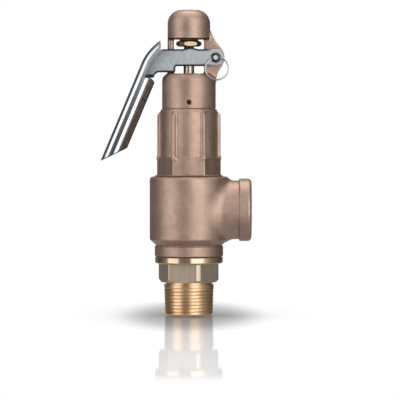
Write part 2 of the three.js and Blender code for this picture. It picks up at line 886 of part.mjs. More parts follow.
function gripFace(inset) {
  const half = leverWidth / 2;
  const rolled = gripDepth - gripRoll;
  return [
    [gripDepth - inset, gripSlit / 2],
    ...cornerArc(rolled, half - gripRoll, gripRoll - inset, 0, 90),
    ...cornerArc(leverBend, half - leverBend, leverBend - inset, 90, 180),
    ...cornerArc(leverBend, leverBend - half, leverBend - inset, 180, 270),
    ...cornerArc(rolled, gripRoll - half, gripRoll - inset, 270, 360),
    [gripDepth - inset, -gripSlit / 2],
  ];
}

function sheetSolid(stations, face) {
  const outline = [...face(0), ...face(sheetThickness).reverse()];
  const contour = outline.map(([across, side]) => new THREE.Vector2(across, side));
  const caps = THREE.ShapeUtils.triangulateShape(contour, []);
  const sections = stations.map(({ place, inward }) => outline.map(([across, side]) => {
    const point = place.clone().addScaledVector(inward, across);
    return new THREE.Vector3(point.x, -side, point.y);
  }));
  return solidOf(skinOver(sections, caps));
}

function armOutline() {
  const outline = new THREE.Shape();
  const hump = -humpOffset;
  const throatStart = new THREE.Vector2(-heelReach, pivotHeight - heelDrop);
  const gripInner = backPoint(gripStart).addScaledVector(inwardDirection, gripDepth);
  outline.moveTo(pivotReach, pivotHeight + armEndRadius);
  outline.lineTo(pivotReach - armEndRadius, armTop);
  outline.lineTo(humpHalfLength - hump, armTop);
  outline.lineTo(-hump, armTop + humpRise);
  outline.lineTo(-humpHalfLength - hump, armTop);
  outline.lineTo(-noseReach, armTop);
  for (const { place, inward } of channelStations()) {
    const point = place.clone().addScaledVector(inward, leverBend);
    if (point.x < -noseReach) {
      outline.lineTo(point.x, point.y);
    }
  }
  outline.lineTo(gripInner.x, gripInner.y);
  for (const [acrossShare, dropShare] of [...throatShares].reverse()) {
    outline.lineTo(
      throatStart.x + (gripInner.x - throatStart.x) * acrossShare,
      throatStart.y + (gripInner.y - throatStart.y) * dropShare,
    );
  }
  outline.lineTo(throatStart.x, throatStart.y);
  outline.lineTo(throatStart.x, armBottom);
  outline.lineTo(pivotReach, pivotHeight - armEndRadius);
  outline.absarc(pivotReach, pivotHeight, armEndRadius, -Math.PI / 2, Math.PI / 2, false);
  return outline;
}

function liftLever() {
  const arms = armOutline();
  const near = plateAcross(arms, -armOuter, sheetThickness, armEndSteps);
  const far = plateAcross(arms, armOuter - sheetThickness, sheetThickness, armEndSteps);
  const channel = sheetSolid(channelStations(), channelFace);
  const gripRows = [gripStart, gripLength + gripDepth].map((distance) => (
    { place: backPoint(distance), inward: inwardDirection }));
  const grip = sheetSolid(gripRows, gripFace);
  const noseCut = blockBetween(
    [-noseReach, -leverWidth, armTop],
    [noseReach, leverWidth, noseTip.y + leverBend],
  );
  const gripEnd = backPoint(gripLength);
  const endCut = blockBetween(
    [-gripLength, -leverWidth, -gripLength],
    [gripLength, leverWidth, 0],
  ).rotate([0, -gripCutAngle, 0]).translate([gripEnd.x, 0, gripEnd.y]);
  const pivotHole = along('y', rod(pivotHoleRadius, -leverWidth, leverWidth));
  return channel
    .subtract(noseCut)
    .add(near)
    .add(far)
    .add(grip.subtract(endCut))
    .subtract(pivotHole.translate([pivotReach, 0, pivotHeight]));
}

// Pivot pin: head behind, chamfered end in front with the ring's cross hole

function pivotPin() {
  const radius = pivotPinDiameter / 2;
  const headFace = armOuter + turnedGap;
  const pin = turned([
    [0, -headFace - pivotHeadThickness],
    [pivotHeadDiameter / 2 - pivotPinChamfer, -headFace - pivotHeadThickness],
    [pivotHeadDiameter / 2, -headFace - pivotHeadThickness + pivotPinChamfer],
    [pivotHeadDiameter / 2, -headFace],
    [radius, -headFace],
    [radius, pivotPinFront - pivotPinChamfer],
    [radius - pivotPinChamfer, pivotPinFront],
    [0, pivotPinFront],
  ], smallSides);
  const crossHole = along('x', rod(crossHoleDiameter / 2, -pivotPinDiameter, pivotPinDiameter));
  return along('y', pin).subtract(
    crossHole.rotate([0, -ringHangAngle, 0]).translate([0, -crossHoleFront, 0]),
  );
}

// The ring hangs from the cross hole and leans on the skirt's shoulder: the lean is the least
// angle at which every point of its wire clears the skirt.
function ringLean() {
  const skirtRadius = skirtDiameter / 2;
  const clear = ringWireDiameter / 2 + turnedGap;
  let lean = 0;
  for (let step = 0; step < wideSides * 2; step += 1) {
    const angle = (step / (wideSides * 2)) * 2 * Math.PI + radians(ringHangAngle);
    const across = ringRadius * (Math.sin(radians(ringHangAngle)) + Math.sin(angle));
    const down = ringRadius * (Math.cos(radians(ringHangAngle)) + Math.cos(angle));
    const height = pivotHeight - down;
    const under = Math.max(height - (windowBottom - skirtRounding), 0);
    if (height < windowBottom && down > ringRadius / 2) {
      const rim = skirtRadius - skirtRounding + Math.sqrt(skirtRounding ** 2 - under ** 2) + clear;
      const reach = Math.sqrt(Math.max(rim ** 2 - (pivotReach + across) ** 2, 0));
      lean = Math.max(lean, Math.atan2(reach - crossHoleFront, down));
    }
  }
  return lean;
}

function splitRing() {
  const geometry = new THREE.TorusGeometry(ringRadius, ringWireDiameter / 2, wireSides, mediumSides);
  geometry.rotateX(Math.PI / 2);
  geometry.translate(0, 0, -ringRadius);
  geometry.rotateX(-ringLean());
  geometry.rotateY(-radians(ringHangAngle));
  return solidOf(geometry);
}

// Nuts on the spindle

function liftingNut() {
  const bore = spindleRadius + turnedGap;
  return boredNut(liftingNutFlats, liftingNutBottom, liftingNutTop, liftingNutChamfer, bore, 0);
}

function liftingLockNut() {
  const bore = spindleRadius + turnedGap;
  return boredNut(lockNutFlats, liftingNutTop, lockNutTop, lockNutChamfer, bore, lockNutTurn);
}

// Finishes

const bronze = { color: 0xb49482, roughness: 0.42, metalness: 0.9 };
const brass = { color: 0xd8b88a, roughness: 0.3, metalness: 1 };
const chrome = { color: 0xd2d8dc, roughness: 0.12, metalness: 1 };
const steel = { color: 0x9a9a9c, roughness: 0.35, metalness: 1 };
const springSteel = { color: 0x6e7074, roughness: 0.4, metalness: 1 };
const sealFibre = { color: 0x5a4436, roughness: 0.8, metalness: 0 };
const sealPlastic = { color: 0xf2f0ea, roughness: 0.6, metalness: 0 };

const valve = new THREE.Group();

function place(name, solid, finish, position = [0, 0, 0]) {
  const mesh = new THREE.Mesh(geometryOf(solid), new THREE.MeshStandardMaterial(finish));
  mesh.name = name;
  mesh.position.set(...position);
  valve.add(mesh);
}

place('inlet_nozzle', inletNozzle(), brass);
place('nozzle_gasket', nozzleGasket(), sealFibre);
place('valve_body', valveBody(), bronze);
place('bonnet_gasket', bonnetGasket(), sealFibre);
place('bonnet', bonnet(), bronze);
place('guide_bush', guideBush(), brass);
place('valve_disc', valveDisc(), brass);
place('seat_ring', seatRing(), sealPlastic);
place('seat_screw', seatScrew(), steel);
place('thrust_ball', thrustBall(), steel);
place('disc_pin', discPin(), steel);
place('spindle', spindle(), brass);
place('lower_spring_plate', lowerSpringPlate(), brass);
place('main_spring', mainSpring(), springSteel);
place('upper_spring_plate', upperSpringPlate(), brass);
place('adjusting_screw', adjustingScrew(), brass);
place('adjusting_lock_nut', adjustingLockNut(), brass);
place('lever_cap', leverCap(), bronze);
place('cap_set_screw', capSetScrew(), steel);
place('lift_lever', liftLever(), chrome);
place('pivot_pin', pivotPin(), steel, [pivotReach, 0, pivotHeight]);
place('split_ring', splitRing(), steel, [pivotReach, -crossHoleFront, pivotHeight]);
place('lifting_nut', liftingNut(), brass);
place('lifting_lock_nut', liftingLockNut(), brass);

console.log(`Least gap between the spring's turns: ${leastSpringGap().toFixed(2)} mm`);

export default valve;
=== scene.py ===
import math

import bpy
import numpy as np
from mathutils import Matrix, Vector


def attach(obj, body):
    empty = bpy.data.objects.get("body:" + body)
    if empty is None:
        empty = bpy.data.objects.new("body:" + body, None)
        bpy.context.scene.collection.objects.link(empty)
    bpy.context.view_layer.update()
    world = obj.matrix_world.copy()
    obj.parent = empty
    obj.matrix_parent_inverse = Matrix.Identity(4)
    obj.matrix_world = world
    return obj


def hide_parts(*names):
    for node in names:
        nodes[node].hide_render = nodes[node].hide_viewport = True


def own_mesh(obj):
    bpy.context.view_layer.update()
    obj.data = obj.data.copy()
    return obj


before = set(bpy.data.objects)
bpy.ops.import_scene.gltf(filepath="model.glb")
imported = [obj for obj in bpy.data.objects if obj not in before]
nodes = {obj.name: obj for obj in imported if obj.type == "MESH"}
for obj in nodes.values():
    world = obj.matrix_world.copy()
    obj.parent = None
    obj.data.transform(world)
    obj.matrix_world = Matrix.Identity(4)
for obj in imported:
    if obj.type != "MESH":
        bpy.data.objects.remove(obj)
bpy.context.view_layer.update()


# Inlet nozzle: turned from brass bar, with an R 3/4 taper thread that screws into the boiler or
# pipe, a spanner hexagon, the flange that presses the gasket, and the seat on top. Its stub is
# screwed up into the body. The thread's grooves are shallow here. Sizes are in millimetres.

def node_of(material, kind, **inputs):
    made = material.node_tree.nodes.new(kind)
    for name, value in inputs.items():
        made.inputs[name].default_value = value
    return made


def metal(name, colour, roughness, metallic=1.0):
    material = bpy.data.materials.new(name)
    material.use_nodes = True
    shader = material.node_tree.nodes["Principled BSDF"]
    shader.inputs["Base Color"].default_value = (*colour, 1.0)
    shader.inputs["Metallic"].default_value = metallic
    shader.inputs["Roughness"].default_value = roughness
    return material, shader


def object_place(material, stretch=(1.0, 1.0, 1.0)):
    links = material.node_tree.links
    place = node_of(material, "ShaderNodeTexCoord")
    mapping = node_of(material, "ShaderNodeMapping", Scale=stretch)
    links.new(place.outputs["Object"], mapping.inputs["Vector"])
    return mapping.outputs["Vector"]


def speckle(material, place, scale, detail=3.0, crumbs=0.5):
    noise = node_of(material, "ShaderNodeTexNoise", Scale=scale, Detail=detail, Roughness=crumbs)
    material.node_tree.links.new(place, noise.inputs["Vector"])
    return noise.outputs["Fac"]


def between(material, factor, low, high):
    """A colour that goes from low to high as the factor passes its middle."""
    ramp = node_of(material, "ShaderNodeValToRGB")
    for index, (position, colour) in enumerate(((0.35, low), (0.65, high))):
        ramp.color_ramp.elements[index].position = position
        ramp.color_ramp.elements[index].color = (*colour, 1.0)
    material.node_tree.links.new(factor, ramp.inputs["Fac"])
    return ramp.outputs["Color"]


def spread(material, factor, low, high, start=0.3, end=0.7, ease="LINEAR"):
    """A number that goes from low to high as the factor goes from start to end."""
    ranged = node_of(material, "ShaderNodeMapRange")
    ranged.interpolation_type = ease
    for socket, value in zip(("From Min", "From Max", "To Min", "To Max"), (start, end, low, high)):
        ranged.inputs[socket].default_value = value
    material.node_tree.links.new(factor, ranged.inputs["Value"])
    return ranged.outputs["Result"]


def relief(material, shader, height, depth_mm, strength=1.0):
    bump = node_of(material, "ShaderNodeBump", Strength=strength, Distance=depth_mm * 0.001)
    links = material.node_tree.links
    links.new(height, bump.inputs["Height"])
    links.new(bump.outputs["Normal"], shader.inputs["Normal"])


def turned_metal(name, colour, tarnish, roughness, stretch=(40.0, 40.0, 4200.0)):
    """Metal from the lathe: fine lines round it, which lie across the axis of the large stretch."""
    material, shader = metal(name, colour, roughness)
    links = material.node_tree.links
    lines = speckle(material, object_place(material, stretch), 1.0, 2.0)
    stain = speckle(material, object_place(material), 140.0, 4.0)
    links.new(between(material, stain, tarnish, colour), shader.inputs["Base Color"])
    links.new(spread(material, lines, roughness * 0.8, roughness * 1.3), shader.inputs["Roughness"])
    relief(material, shader, lines, 0.003)
    return material


def piece(name, points, faces, material, body, replaced=(), sharp=32.0):
    """One piece from points in millimetres, with edges over the sharp angle left crisp."""
    mesh = bpy.data.meshes.new(name)
    mesh.from_pydata((np.asarray(points) * 0.001).tolist(), [], [list(face) for face in faces])
    mesh.materials.append(material)
    mesh.shade_smooth()
    if sharp:
        mesh.set_sharp_from_angle(angle=math.radians(sharp))
    made = bpy.data.objects.new(name, mesh)
    bpy.context.scene.collection.objects.link(made)
    if sharp:
        weighting = made.modifiers.new("even_flats", "WEIGHTED_NORMAL")
        weighting.keep_sharp = True
    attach(made, body)
    if replaced:
        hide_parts(*replaced)
    return made


def rings_of(rows, sides, turn=0.0, closed=False):
    """Points and faces of rows of (radius, height), each radius one number or one for every side."""
    angles = np.radians(turn) + np.arange(sides) * 2 * math.pi / sides
    points = np.empty((len(rows), sides, 3))
    for index, (radius, height) in enumerate(rows):
        points[index, :, 0] = radius * np.cos(angles)
        points[index, :, 1] = radius * np.sin(angles)
        points[index, :, 2] = height
    last = len(rows) if closed else len(rows) - 1
    row, side = np.meshgrid(np.arange(last), np.arange(sides), indexing="ij")
    here, over = row * sides, ((row + 1) % len(rows)) * sides
    ahead = (side + 1) % sides
    faces = np.stack([here + side, here + ahead, over + ahead, over + side], axis=-1).reshape(-1, 4)
    faces = faces.tolist()
    if not closed:
        faces.append(list(range(sides))[::-1])
        faces.append(list(range((len(rows) - 1) * sides, len(rows) * sides)))
    return points.reshape(-1, 3), faces


def hexagon_radius(flats, sides, rounding=0.3):
    """Distance from the middle to a hexagon with rounded corners, the first corner at side 0."""
    angle = (np.arange(sides) * 2 * math.pi / sides) % (math.pi / 3)
    angle = np.minimum(angle, math.pi / 3 - angle)
    centre = (flats / 2 - rounding) / math.cos(math.pi / 6)
    touch = math.atan2(rounding / 2, centre + rounding * math.cos(math.pi / 6))
    round_part = np.sqrt(np.maximum(rounding ** 2 - (centre * np.sin(angle)) ** 2, 0))
    return np.where(angle < touch, centre * np.cos(angle) + round_part,
                    flats / 2 / np.cos(math.pi / 6 - angle))


thread_pitch = 1.814
groove_share = 0.4


def pipe_thread(height, sides, turn):
    """Blunt thread, 1 on its wide crest and 0 in its root."""
    angle = np.radians(turn) + np.arange(sides) * 2 * math.pi / sides
    phase = (height / thread_pitch - angle / (2 * math.pi)) % 1.0
    wave = np.clip(4 * np.abs(phase - 0.5) / groove_share - 1, -1, 1)
    return 0.5 + 0.5 * np.sin(wave * math.pi / 2)


nozzle_sides = 360
nozzle_turn = -11.1
gauge_radius, gauge_height, pipe_taper = 13.22, 9.5, 1 / 32
thread_cut, cut_end, cut_fade = 0.42, 15.6, 2.0
thread_chamfer = 12.02
relief_radius = 12.6
hexagon_flats, hexagon_foot, hexagon_top = 29.0, 18.0, 28.0
hexagon_chamfer = 14.9
flange_radius, flange_top = 18.4, 31.6
stub_radius, seat_top, bore_radius = 14.9, 47.8, 8.0

nozzle_rows = []
for height in np.arange(0.0, 16.85, 0.12):
    crest = gauge_radius + (height - gauge_height) * pipe_taper
    cut = thread_cut * min(1.0, max(0.0, cut_end - height) / cut_fade)
    radius = crest - cut * (1 - pipe_thread(height, nozzle_sides, nozzle_turn))
    nozzle_rows.append((np.minimum(radius, thread_chamfer + height), height))
nozzle_rows += [(relief_radius, 16.9), (relief_radius, hexagon_foot - 0.15)]

# The hexagon's corners are turned off, more on one side than on the other.
nozzle_angles = np.radians(nozzle_turn) + np.arange(nozzle_sides) * 2 * math.pi / nozzle_sides
turned_corners = 16.6 - 0.6 * np.cos(nozzle_angles + math.radians(41))
nozzle_hexagon = np.minimum(hexagon_radius(hexagon_flats, nozzle_sides), turned_corners)
for height in [hexagon_foot, *np.arange(18.1, 20.2, 0.1), 22.0, 25.0, 27.8, hexagon_top]:
    chamfer = hexagon_chamfer + (height - hexagon_foot)
    nozzle_rows.append((np.minimum(nozzle_hexagon, chamfer), height))
nozzle_rows += [
    (17.4, hexagon_top), (17.6, hexagon_top + 0.06), (18.34, 28.7), (flange_radius, 28.85),
    (flange_radius, flange_top - 0.2), (flange_radius - 0.2, flange_top),
    (stub_radius, flange_top), (stub_radius, 44.0), (9.6, seat_top - 0.2), (9.3, seat_top),
    (bore_radius + 0.1, seat_top), (bore_radius, seat_top - 0.1),
    (bore_radius, 1.7), (9.3, 0.1), (9.5, 0.0)]
nozzle_points, nozzle_faces = rings_of(nozzle_rows, nozzle_sides, nozzle_turn, closed=True)

thread_brass = turned_metal("thread_brass", (0.79, 0.555, 0.345), (0.71, 0.46, 0.26), 0.3)
flange_brass = turned_metal("polished_flange_brass", (0.70, 0.54, 0.36), (0.58, 0.42, 0.26), 0.17)
hexagon_brass, hexagon_shader = metal("satin_hexagon_brass", (0.65, 0.52, 0.405), 0.42)
hexagon_grain = speckle(hexagon_brass, object_place(hexagon_brass, (500.0, 500.0, 60.0)), 1.0)
hexagon_brass.node_tree.links.new(
    spread(hexagon_brass, hexagon_grain, 0.36, 0.5), hexagon_shader.inputs["Roughness"])
relief(hexagon_brass, hexagon_shader, hexagon_grain, 0.01)

nozzle = piece("nozzle", nozzle_points, nozzle_faces, thread_brass, "valve",
               ["inlet_nozzle"])
nozzle.data.materials.append(hexagon_brass)
nozzle.data.materials.append(flange_brass)
outside_thread = 13.8
for face in nozzle.data.polygons:
    face_x, face_y, face_z = face.center * 1000
    if math.hypot(face_x, face_y) > outside_thread:
        face.material_index = int(face_z > hexagon_foot) + int(face_z > hexagon_top)


# Valve body: sand cast in bronze, bead blasted, with its top, bottom and outlet faces machined.
# The chamber inside lets the steam turn from the seat to the side outlet, whose neck grows out of
# the round body with a wide casting fillet. Gaskets of pressed fibre lie under it and on it.

def eased(corners, rounding=0.4, steps=3):
    """Corner points with each corner rounded. A third number gives a corner its own radius."""
    made = []
    for index, corner in enumerate(corners):
        here = np.array(corner[:2], float)
        radius = corner[2] if len(corner) > 2 else rounding
        back = np.array(corners[index - 1][:2], float) - here
        ahead = np.array(corners[(index + 1) % len(corners)][:2], float) - here
        back_length, ahead_length = np.hypot(*back), np.hypot(*ahead)
        back, ahead = back / back_length, ahead / ahead_length
        opening = math.acos(float(np.clip(back @ ahead, -1, 1)))
        if radius <= 0 or opening > math.pi - 0.02:
            made.append(here)
            continue
        cut = min(radius / math.tan(opening / 2), 0.49 * back_length, 0.49 * ahead_length)
        radius = cut * math.tan(opening / 2)
        centre = here + (back + ahead) / np.hypot(*(back + ahead)) * radius / math.sin(opening / 2)
        first, last = here + back * cut - centre, here + ahead * cut - centre
        sweep = math.pi - opening
        for step in range(steps + 1):
            share = step / steps
            made.append(centre + (math.sin((1 - share) * sweep) * first
                                  + math.sin(share * sweep) * last) / math.sin(sweep))
    return np.array(made)


def outline_depth(across, up, corners):
    """Distance to a closed outline, negative inside it."""
    nearest = np.full(across.shape, 1e9)
    inside = np.zeros(across.shape, bool)
    for (a_across, a_up), (b_across, b_up) in zip(corners, np.roll(corners, -1, axis=0)):
        run, rise = b_across - a_across, b_up - a_up
        if run * run + rise * rise < 1e-12:
            continue
        along = (across - a_across) * run + (up - a_up) * rise
        share = np.clip(along / (run * run + rise * rise), 0, 1)
        nearest = np.minimum(nearest, (across - a_across - run * share) ** 2
                             + (up - a_up - rise * share) ** 2)
        if rise != 0:
            crosses = (a_up > up) != (b_up > up)
            inside ^= crosses & (across < run * (up - a_up) / rise + a_across)
    return np.where(inside, -1.0, 1.0) * np.sqrt(nearest)


def joined(one, other, fillet):
    """Two forms cast together with a fillet between them."""
    overlap = np.maximum(fillet - np.abs(one - other), 0) / fillet
    return np.minimum(one, other) - overlap * overlap * fillet / 4


def hollowed(form, hole, edge=0.4):
    """A form with a hole taken out of it, the edge broken."""
    return -joined(-form, hole, edge)


def slopes(depth, points, reach=0.02):
    """Direction in which the distance grows at each point."""
    corners = np.array([(1, -1, -1), (-1, -1, 1), (-1, 1, -1), (1, 1, 1)])
    return sum(corner * depth(*(points + corner * reach).T)[:, None] for corner in corners) / (4 * reach)


def skin_of(depth, low, high, pitch):
    """Points, outward normals and faces of the surface where the distance is zero."""
    # The distance is worked out once for each block, and for each grid point only near the surface.
    block = 5
    counts = [int(math.ceil((high[axis] - low[axis]) / pitch / block)) * block for axis in range(3)]
    axes = [low[axis] + pitch * np.arange(counts[axis]) for axis in range(3)]
    coarse_axes = [axes[axis].reshape(-1, block).mean(axis=1) for axis in range(3)]
    coarse = depth(*[part.ravel() for part in np.meshgrid(*coarse_axes, indexing="ij")])
    coarse = coarse.reshape([len(part) for part in coarse_axes])
    field, near = coarse, np.abs(coarse) < pitch * block * 1.25
    for axis in range(3):
        field = np.repeat(field, block, axis=axis)
        near = np.repeat(near, block, axis=axis)
    places = np.argwhere(near)
    field = field.copy()
    field[near] = depth(*[axes[axis][places[:, axis]] for axis in range(3)])

    # Every grid edge that the surface crosses adds its crossing to the four cells round it.
    cells = np.array(field.shape)
    stride = np.array([cells[1] * cells[2], cells[2], 1])
    total, hits = np.zeros((3, field.size)), np.zeros(field.size)
    crossings = []
    for axis in range(3):
        behind = np.take(field, range(cells[axis] - 1), axis=axis)
        ahead = np.take(field, range(1, cells[axis]), axis=axis)
        crossing = (behind < 0) != (ahead < 0)
        spots = np.argwhere(crossing)
        place = spots.astype(float)
        place[:, axis] += behind[crossing] / (behind[crossing] - ahead[crossing])
        first, second = (axis + 1) % 3, (axis + 2) % 3
        around = []
        for one, two in ((-1, -1), (0, -1), (0, 0), (-1, 0)):
            cell = spots @ stride + one * stride[first] + two * stride[second]
            around.append(cell)
            hits += np.bincount(cell, minlength=field.size)
            for part in range(3):
                total[part] += np.bincount(cell, weights=place[:, part], minlength=field.size)
        crossings.append((np.stack(around, axis=1), behind[crossing] < 0))

    # Each cell's point starts in the middle of its crossings and slides on to the surface.
    used = np.flatnonzero(hits)
    number = np.full(field.size, -1)
    number[used] = np.arange(len(used))
    points = (total[:, used] / hits[used]).T * pitch + np.array(low)
    for _ in range(2):
        direction = slopes(depth, points)
        length = np.maximum((direction ** 2).sum(axis=1), 0.05)
        move = direction * (depth(*points.T) / length)[:, None]
        size = np.maximum(np.linalg.norm(move, axis=1), 1e-9)
        points = points - move * np.minimum(1, pitch * 0.8 / size)[:, None]
    faces = [np.where(outward[:, None], number[quad], number[quad[:, ::-1]])
             for quad, outward in crossings]
    normals = slopes(depth, points)
    return points, normals / np.linalg.norm(normals, axis=1)[:, None], np.concatenate(faces)


def cast_piece(name, depth, low, high, pitch, material, body, replaced):
    points, normals, faces = skin_of(depth, low, high, pitch)
    made = piece(name, points, faces.tolist(), material, body, replaced, sharp=None)
    made.data.normals_split_custom_set_from_vertices(normals.tolist())
    return made


# Half outlines of round forms run on past their axis, so that only the outer side counts.
past_axis = -30.0
body_top, body_radius = 75.0, 21.2
outlet_height, outlet_end, socket_start = 57.0, 33.8, 18.8
casting_fillet = 3.4

body_outline = eased([
    (past_axis, 32.1), (18.5, 32.1, 0.3), (18.5, 37.4, 0.25), (17.9, 37.7, 0.2), (17.9, 38.0, 0.2),
    (body_radius, 41.0, 1.6), (body_radius, body_top, 1.7), (past_axis, body_top)])
neck_outline = eased([
    (past_axis, -1.0), (15.9, -1.0), (15.9, 27.1, 0.25), (16.9, 27.2, 0.35),
    (16.9, outlet_end, 2.0), (past_axis, outlet_end)])
chamber_outline = eased([
    (past_axis, 31.0), (15.2, 31.0), (15.2, 41.0, 0.3), (17.4, 41.0, 1.2), (17.4, 66.2, 1.2),
    (15.8, 66.2, 0.3), (15.8, 76.0), (past_axis, 76.0)])
passage_outline = eased([
    (past_axis, 0.0), (11.0, 0.0), (11.0, socket_start, 0.4), (13.4, socket_start, 0.3),
    (13.4, 35.0), (past_axis, 35.0)])


def body_depth(x, y, z):
    radius, reach = np.hypot(x, y), np.hypot(y, z - outlet_height)
    barrel, neck = outline_depth(radius, z, body_outline), outline_depth(reach, x, neck_outline)
    form = np.maximum(joined(barrel, neck, casting_fillet), z - body_top)
    form = hollowed(form, outline_depth(radius, z, chamber_outline), 0.3)
    return hollowed(form, outline_depth(reach, x, passage_outline), 0.5)


def bead_blasted(name, colour, dark, roughness):
    """Cast bronze, bead blasted: fine even grain, slow waves of the mould, darker in patches."""
    material, shader = metal(name, colour, roughness)
    links = material.node_tree.links
    place = object_place(material)
    grain = speckle(material, place, 2600.0, 2.0)
    wave = speckle(material, place, 210.0, 3.0)
    stain = speckle(material, place, 95.0, 5.0, 0.78)
    links.new(between(material, stain, dark, colour), shader.inputs["Base Color"])
    links.new(spread(material, grain, roughness * 0.85, roughness * 1.2), shader.inputs["Roughness"])
    coarse = node_of(material, "ShaderNodeBump", Strength=0.35, Distance=0.00012)
    links.new(wave, coarse.inputs["Height"])
    fine = node_of(material, "ShaderNodeBump", Strength=0.8, Distance=0.00004)
    links.new(grain, fine.inputs["Height"])
    links.new(coarse.outputs["Normal"], fine.inputs["Normal"])
    links.new(fine.outputs["Normal"], shader.inputs["Normal"])
    return material


cast_bronze = bead_blasted("cast_bronze", (0.572, 0.408, 0.318), (0.438, 0.298, 0.243), 0.47)
cast_piece("body_casting", body_depth, (-22.5, -22.5, 31.0), (35.0, 22.5, 76.2), 0.45,
           cast_bronze, "valve", ["valve_body"])

outlet_sides = 200
outlet_cut = 1.16
socket_radius, socket_mouth = 13.6, 33.6
outlet_rows = [(socket_radius, -socket_mouth), (socket_radius, -socket_start), (11.2, -socket_start)]
for reach in np.arange(19.0, 33.65, 0.14):
    from_end = outlet_end - reach
    radius = gauge_radius - from_end * pipe_taper
    radius = radius - outlet_cut * (1 - pipe_thread(reach, outlet_sides, 0.0))
    outlet_rows.append((np.maximum(radius, socket_radius - from_end * 1.1), -reach))
outlet_points, outlet_faces = rings_of(outlet_rows, outlet_sides, closed=True)
upright, level, backward = outlet_points.T
outlet_points = np.stack([-backward, level, upright + outlet_height], axis=1)
cut_bronze = turned_metal("cut_bronze", (0.84, 0.57, 0.38), (0.7, 0.45, 0.29), 0.24,
                          (4200.0, 40.0, 40.0))
piece("outlet_thread", outlet_points, [face[::-1] for face in outlet_faces],
      cut_bronze, "valve")

pressed_fibre, fibre_shader = metal("pressed_fibre", (0.16, 0.09, 0.06), 0.8, metallic=0.0)
fibre_grain = speckle(pressed_fibre, object_place(pressed_fibre), 1800.0, 4.0)
pressed_fibre.node_tree.links.new(
    between(pressed_fibre, fibre_grain, (0.10, 0.055, 0.035), (0.21, 0.12, 0.08)),
    fibre_shader.inputs["Base Color"])
relief(pressed_fibre, fibre_shader, fibre_grain, 0.03)
for gasket in ("nozzle_gasket", "bonnet_gasket"):
    nodes[gasket].data.materials.clear()
    nodes[gasket].data.materials.append(pressed_fibre)


# Bonnet: the spring housing, cast in bronze. It screws into the body by its stub, turned by the
# hexagon above the gasket, and six cast ribs stiffen the barrel round the spring. The neck on top
# takes the cap.

screw_radius, gasket_top = 15.5, 75.5
barrel_radius, shoulder_height, neck_radius, neck_top = 15.1, 111.5, 11.9, 118.0
bonnet_corner, bonnet_hexagon_top = 17.32, 85.5
rib_half, rib_reach = 0.95, 17.1
grub_height = 115.1

bonnet_outline = eased([
    (past_axis, 66.5), (screw_radius, 66.5, 0.5), (screw_radius, gasket_top, 0.1),
    (17.9, gasket_top, 0.15), (17.9, 75.9, 0.15), (barrel_radius, 75.9, 0.1),
    (barrel_radius, 110.2, 0.15), (14.95, 110.3, 0.1), (15.05, 110.5, 0.1),
    (15.05, shoulder_height, 0.6), (neck_radius, shoulder_height, 0.2),
    (neck_radius, neck_top, 0.4), (past_axis, neck_top)])
bonnet_hexagon = eased([
    (bonnet_corner * math.cos(math.radians(60 * corner)),
     bonnet_corner * math.sin(math.radians(60 * corner)), 0.7) for corner in range(6)])
rib_outline = eased([(10.0, 84.6), (rib_reach, 84.6), (rib_reach, 109.8, 2.2), (10.0, 109.8)])
spring_chamber = eased([
    (past_axis, 60.0), (6.3, 60.0), (6.3, 71.0, 0.3), (12.2, 71.0, 0.8), (12.2, 108.0, 0.8),
    (6.3, 108.0, 0.3), (6.3, 120.0), (past_axis, 120.0)])


def bonnet_depth(x, y, z):
    radius, angle = np.hypot(x, y), np.arctan2(y, x)
    sector = (angle + math.pi / 6) % (math.pi / 3) - math.pi / 6
    out, side = radius * np.cos(sector), radius * np.sin(sector)
    barrel = outline_depth(radius, z, bonnet_outline)
    prism = hollowed(outline_depth(x, y, bonnet_hexagon), bonnet_hexagon_top - z, 0.7)
    prism = np.maximum(prism, gasket_top + 0.1 - z)
    rib = hollowed(outline_depth(out, z, rib_outline), rib_half - np.abs(side), 0.7)
    form = joined(joined(barrel, prism, 0.7), rib, 1.5)
    form = np.maximum(form, np.where(radius > screw_radius, gasket_top - z, -9.0))
    dimple = np.maximum(np.hypot(x, z - grub_height) - 1.3, y + 10.2)
    form = hollowed(form, outline_depth(radius, z, spring_chamber), 0.2)
    return hollowed(form, dimple, 0.15)


cast_piece("bonnet_casting", bonnet_depth, (-18.4, -18.4, 65.5), (18.4, 18.4, 119.0), 0.42,
           cast_bronze, "valve", ["bonnet"])


# Inner works: bush, disc with its seat ring, screw, ball and cross pin, spring between its two
# plates, and the adjusting screw with its lock nut. Turned brass, steel and PTFE, closed in by the
# castings, so the machined solids of the frame serve. The spring is wound here.

def drawn_steel(name, colour, roughness, stretch=(900.0, 900.0, 900.0)):
    """Steel wire or bar with the streaks of the die along it."""
    material, shader = metal(name, colour, roughness)
    streaks = speckle(material, object_place(material, stretch), 1.0, 3.0)
    dark = tuple(part * 0.82 for part in colour)
    material.node_tree.links.new(between(material, streaks, dark, colour), shader.inputs["Base Color"])
    material.node_tree.links.new(
        spread(material, streaks, roughness * 0.75, roughness * 1.3), shader.inputs["Roughness"])
    relief(material, shader, streaks, 0.006)
    return material


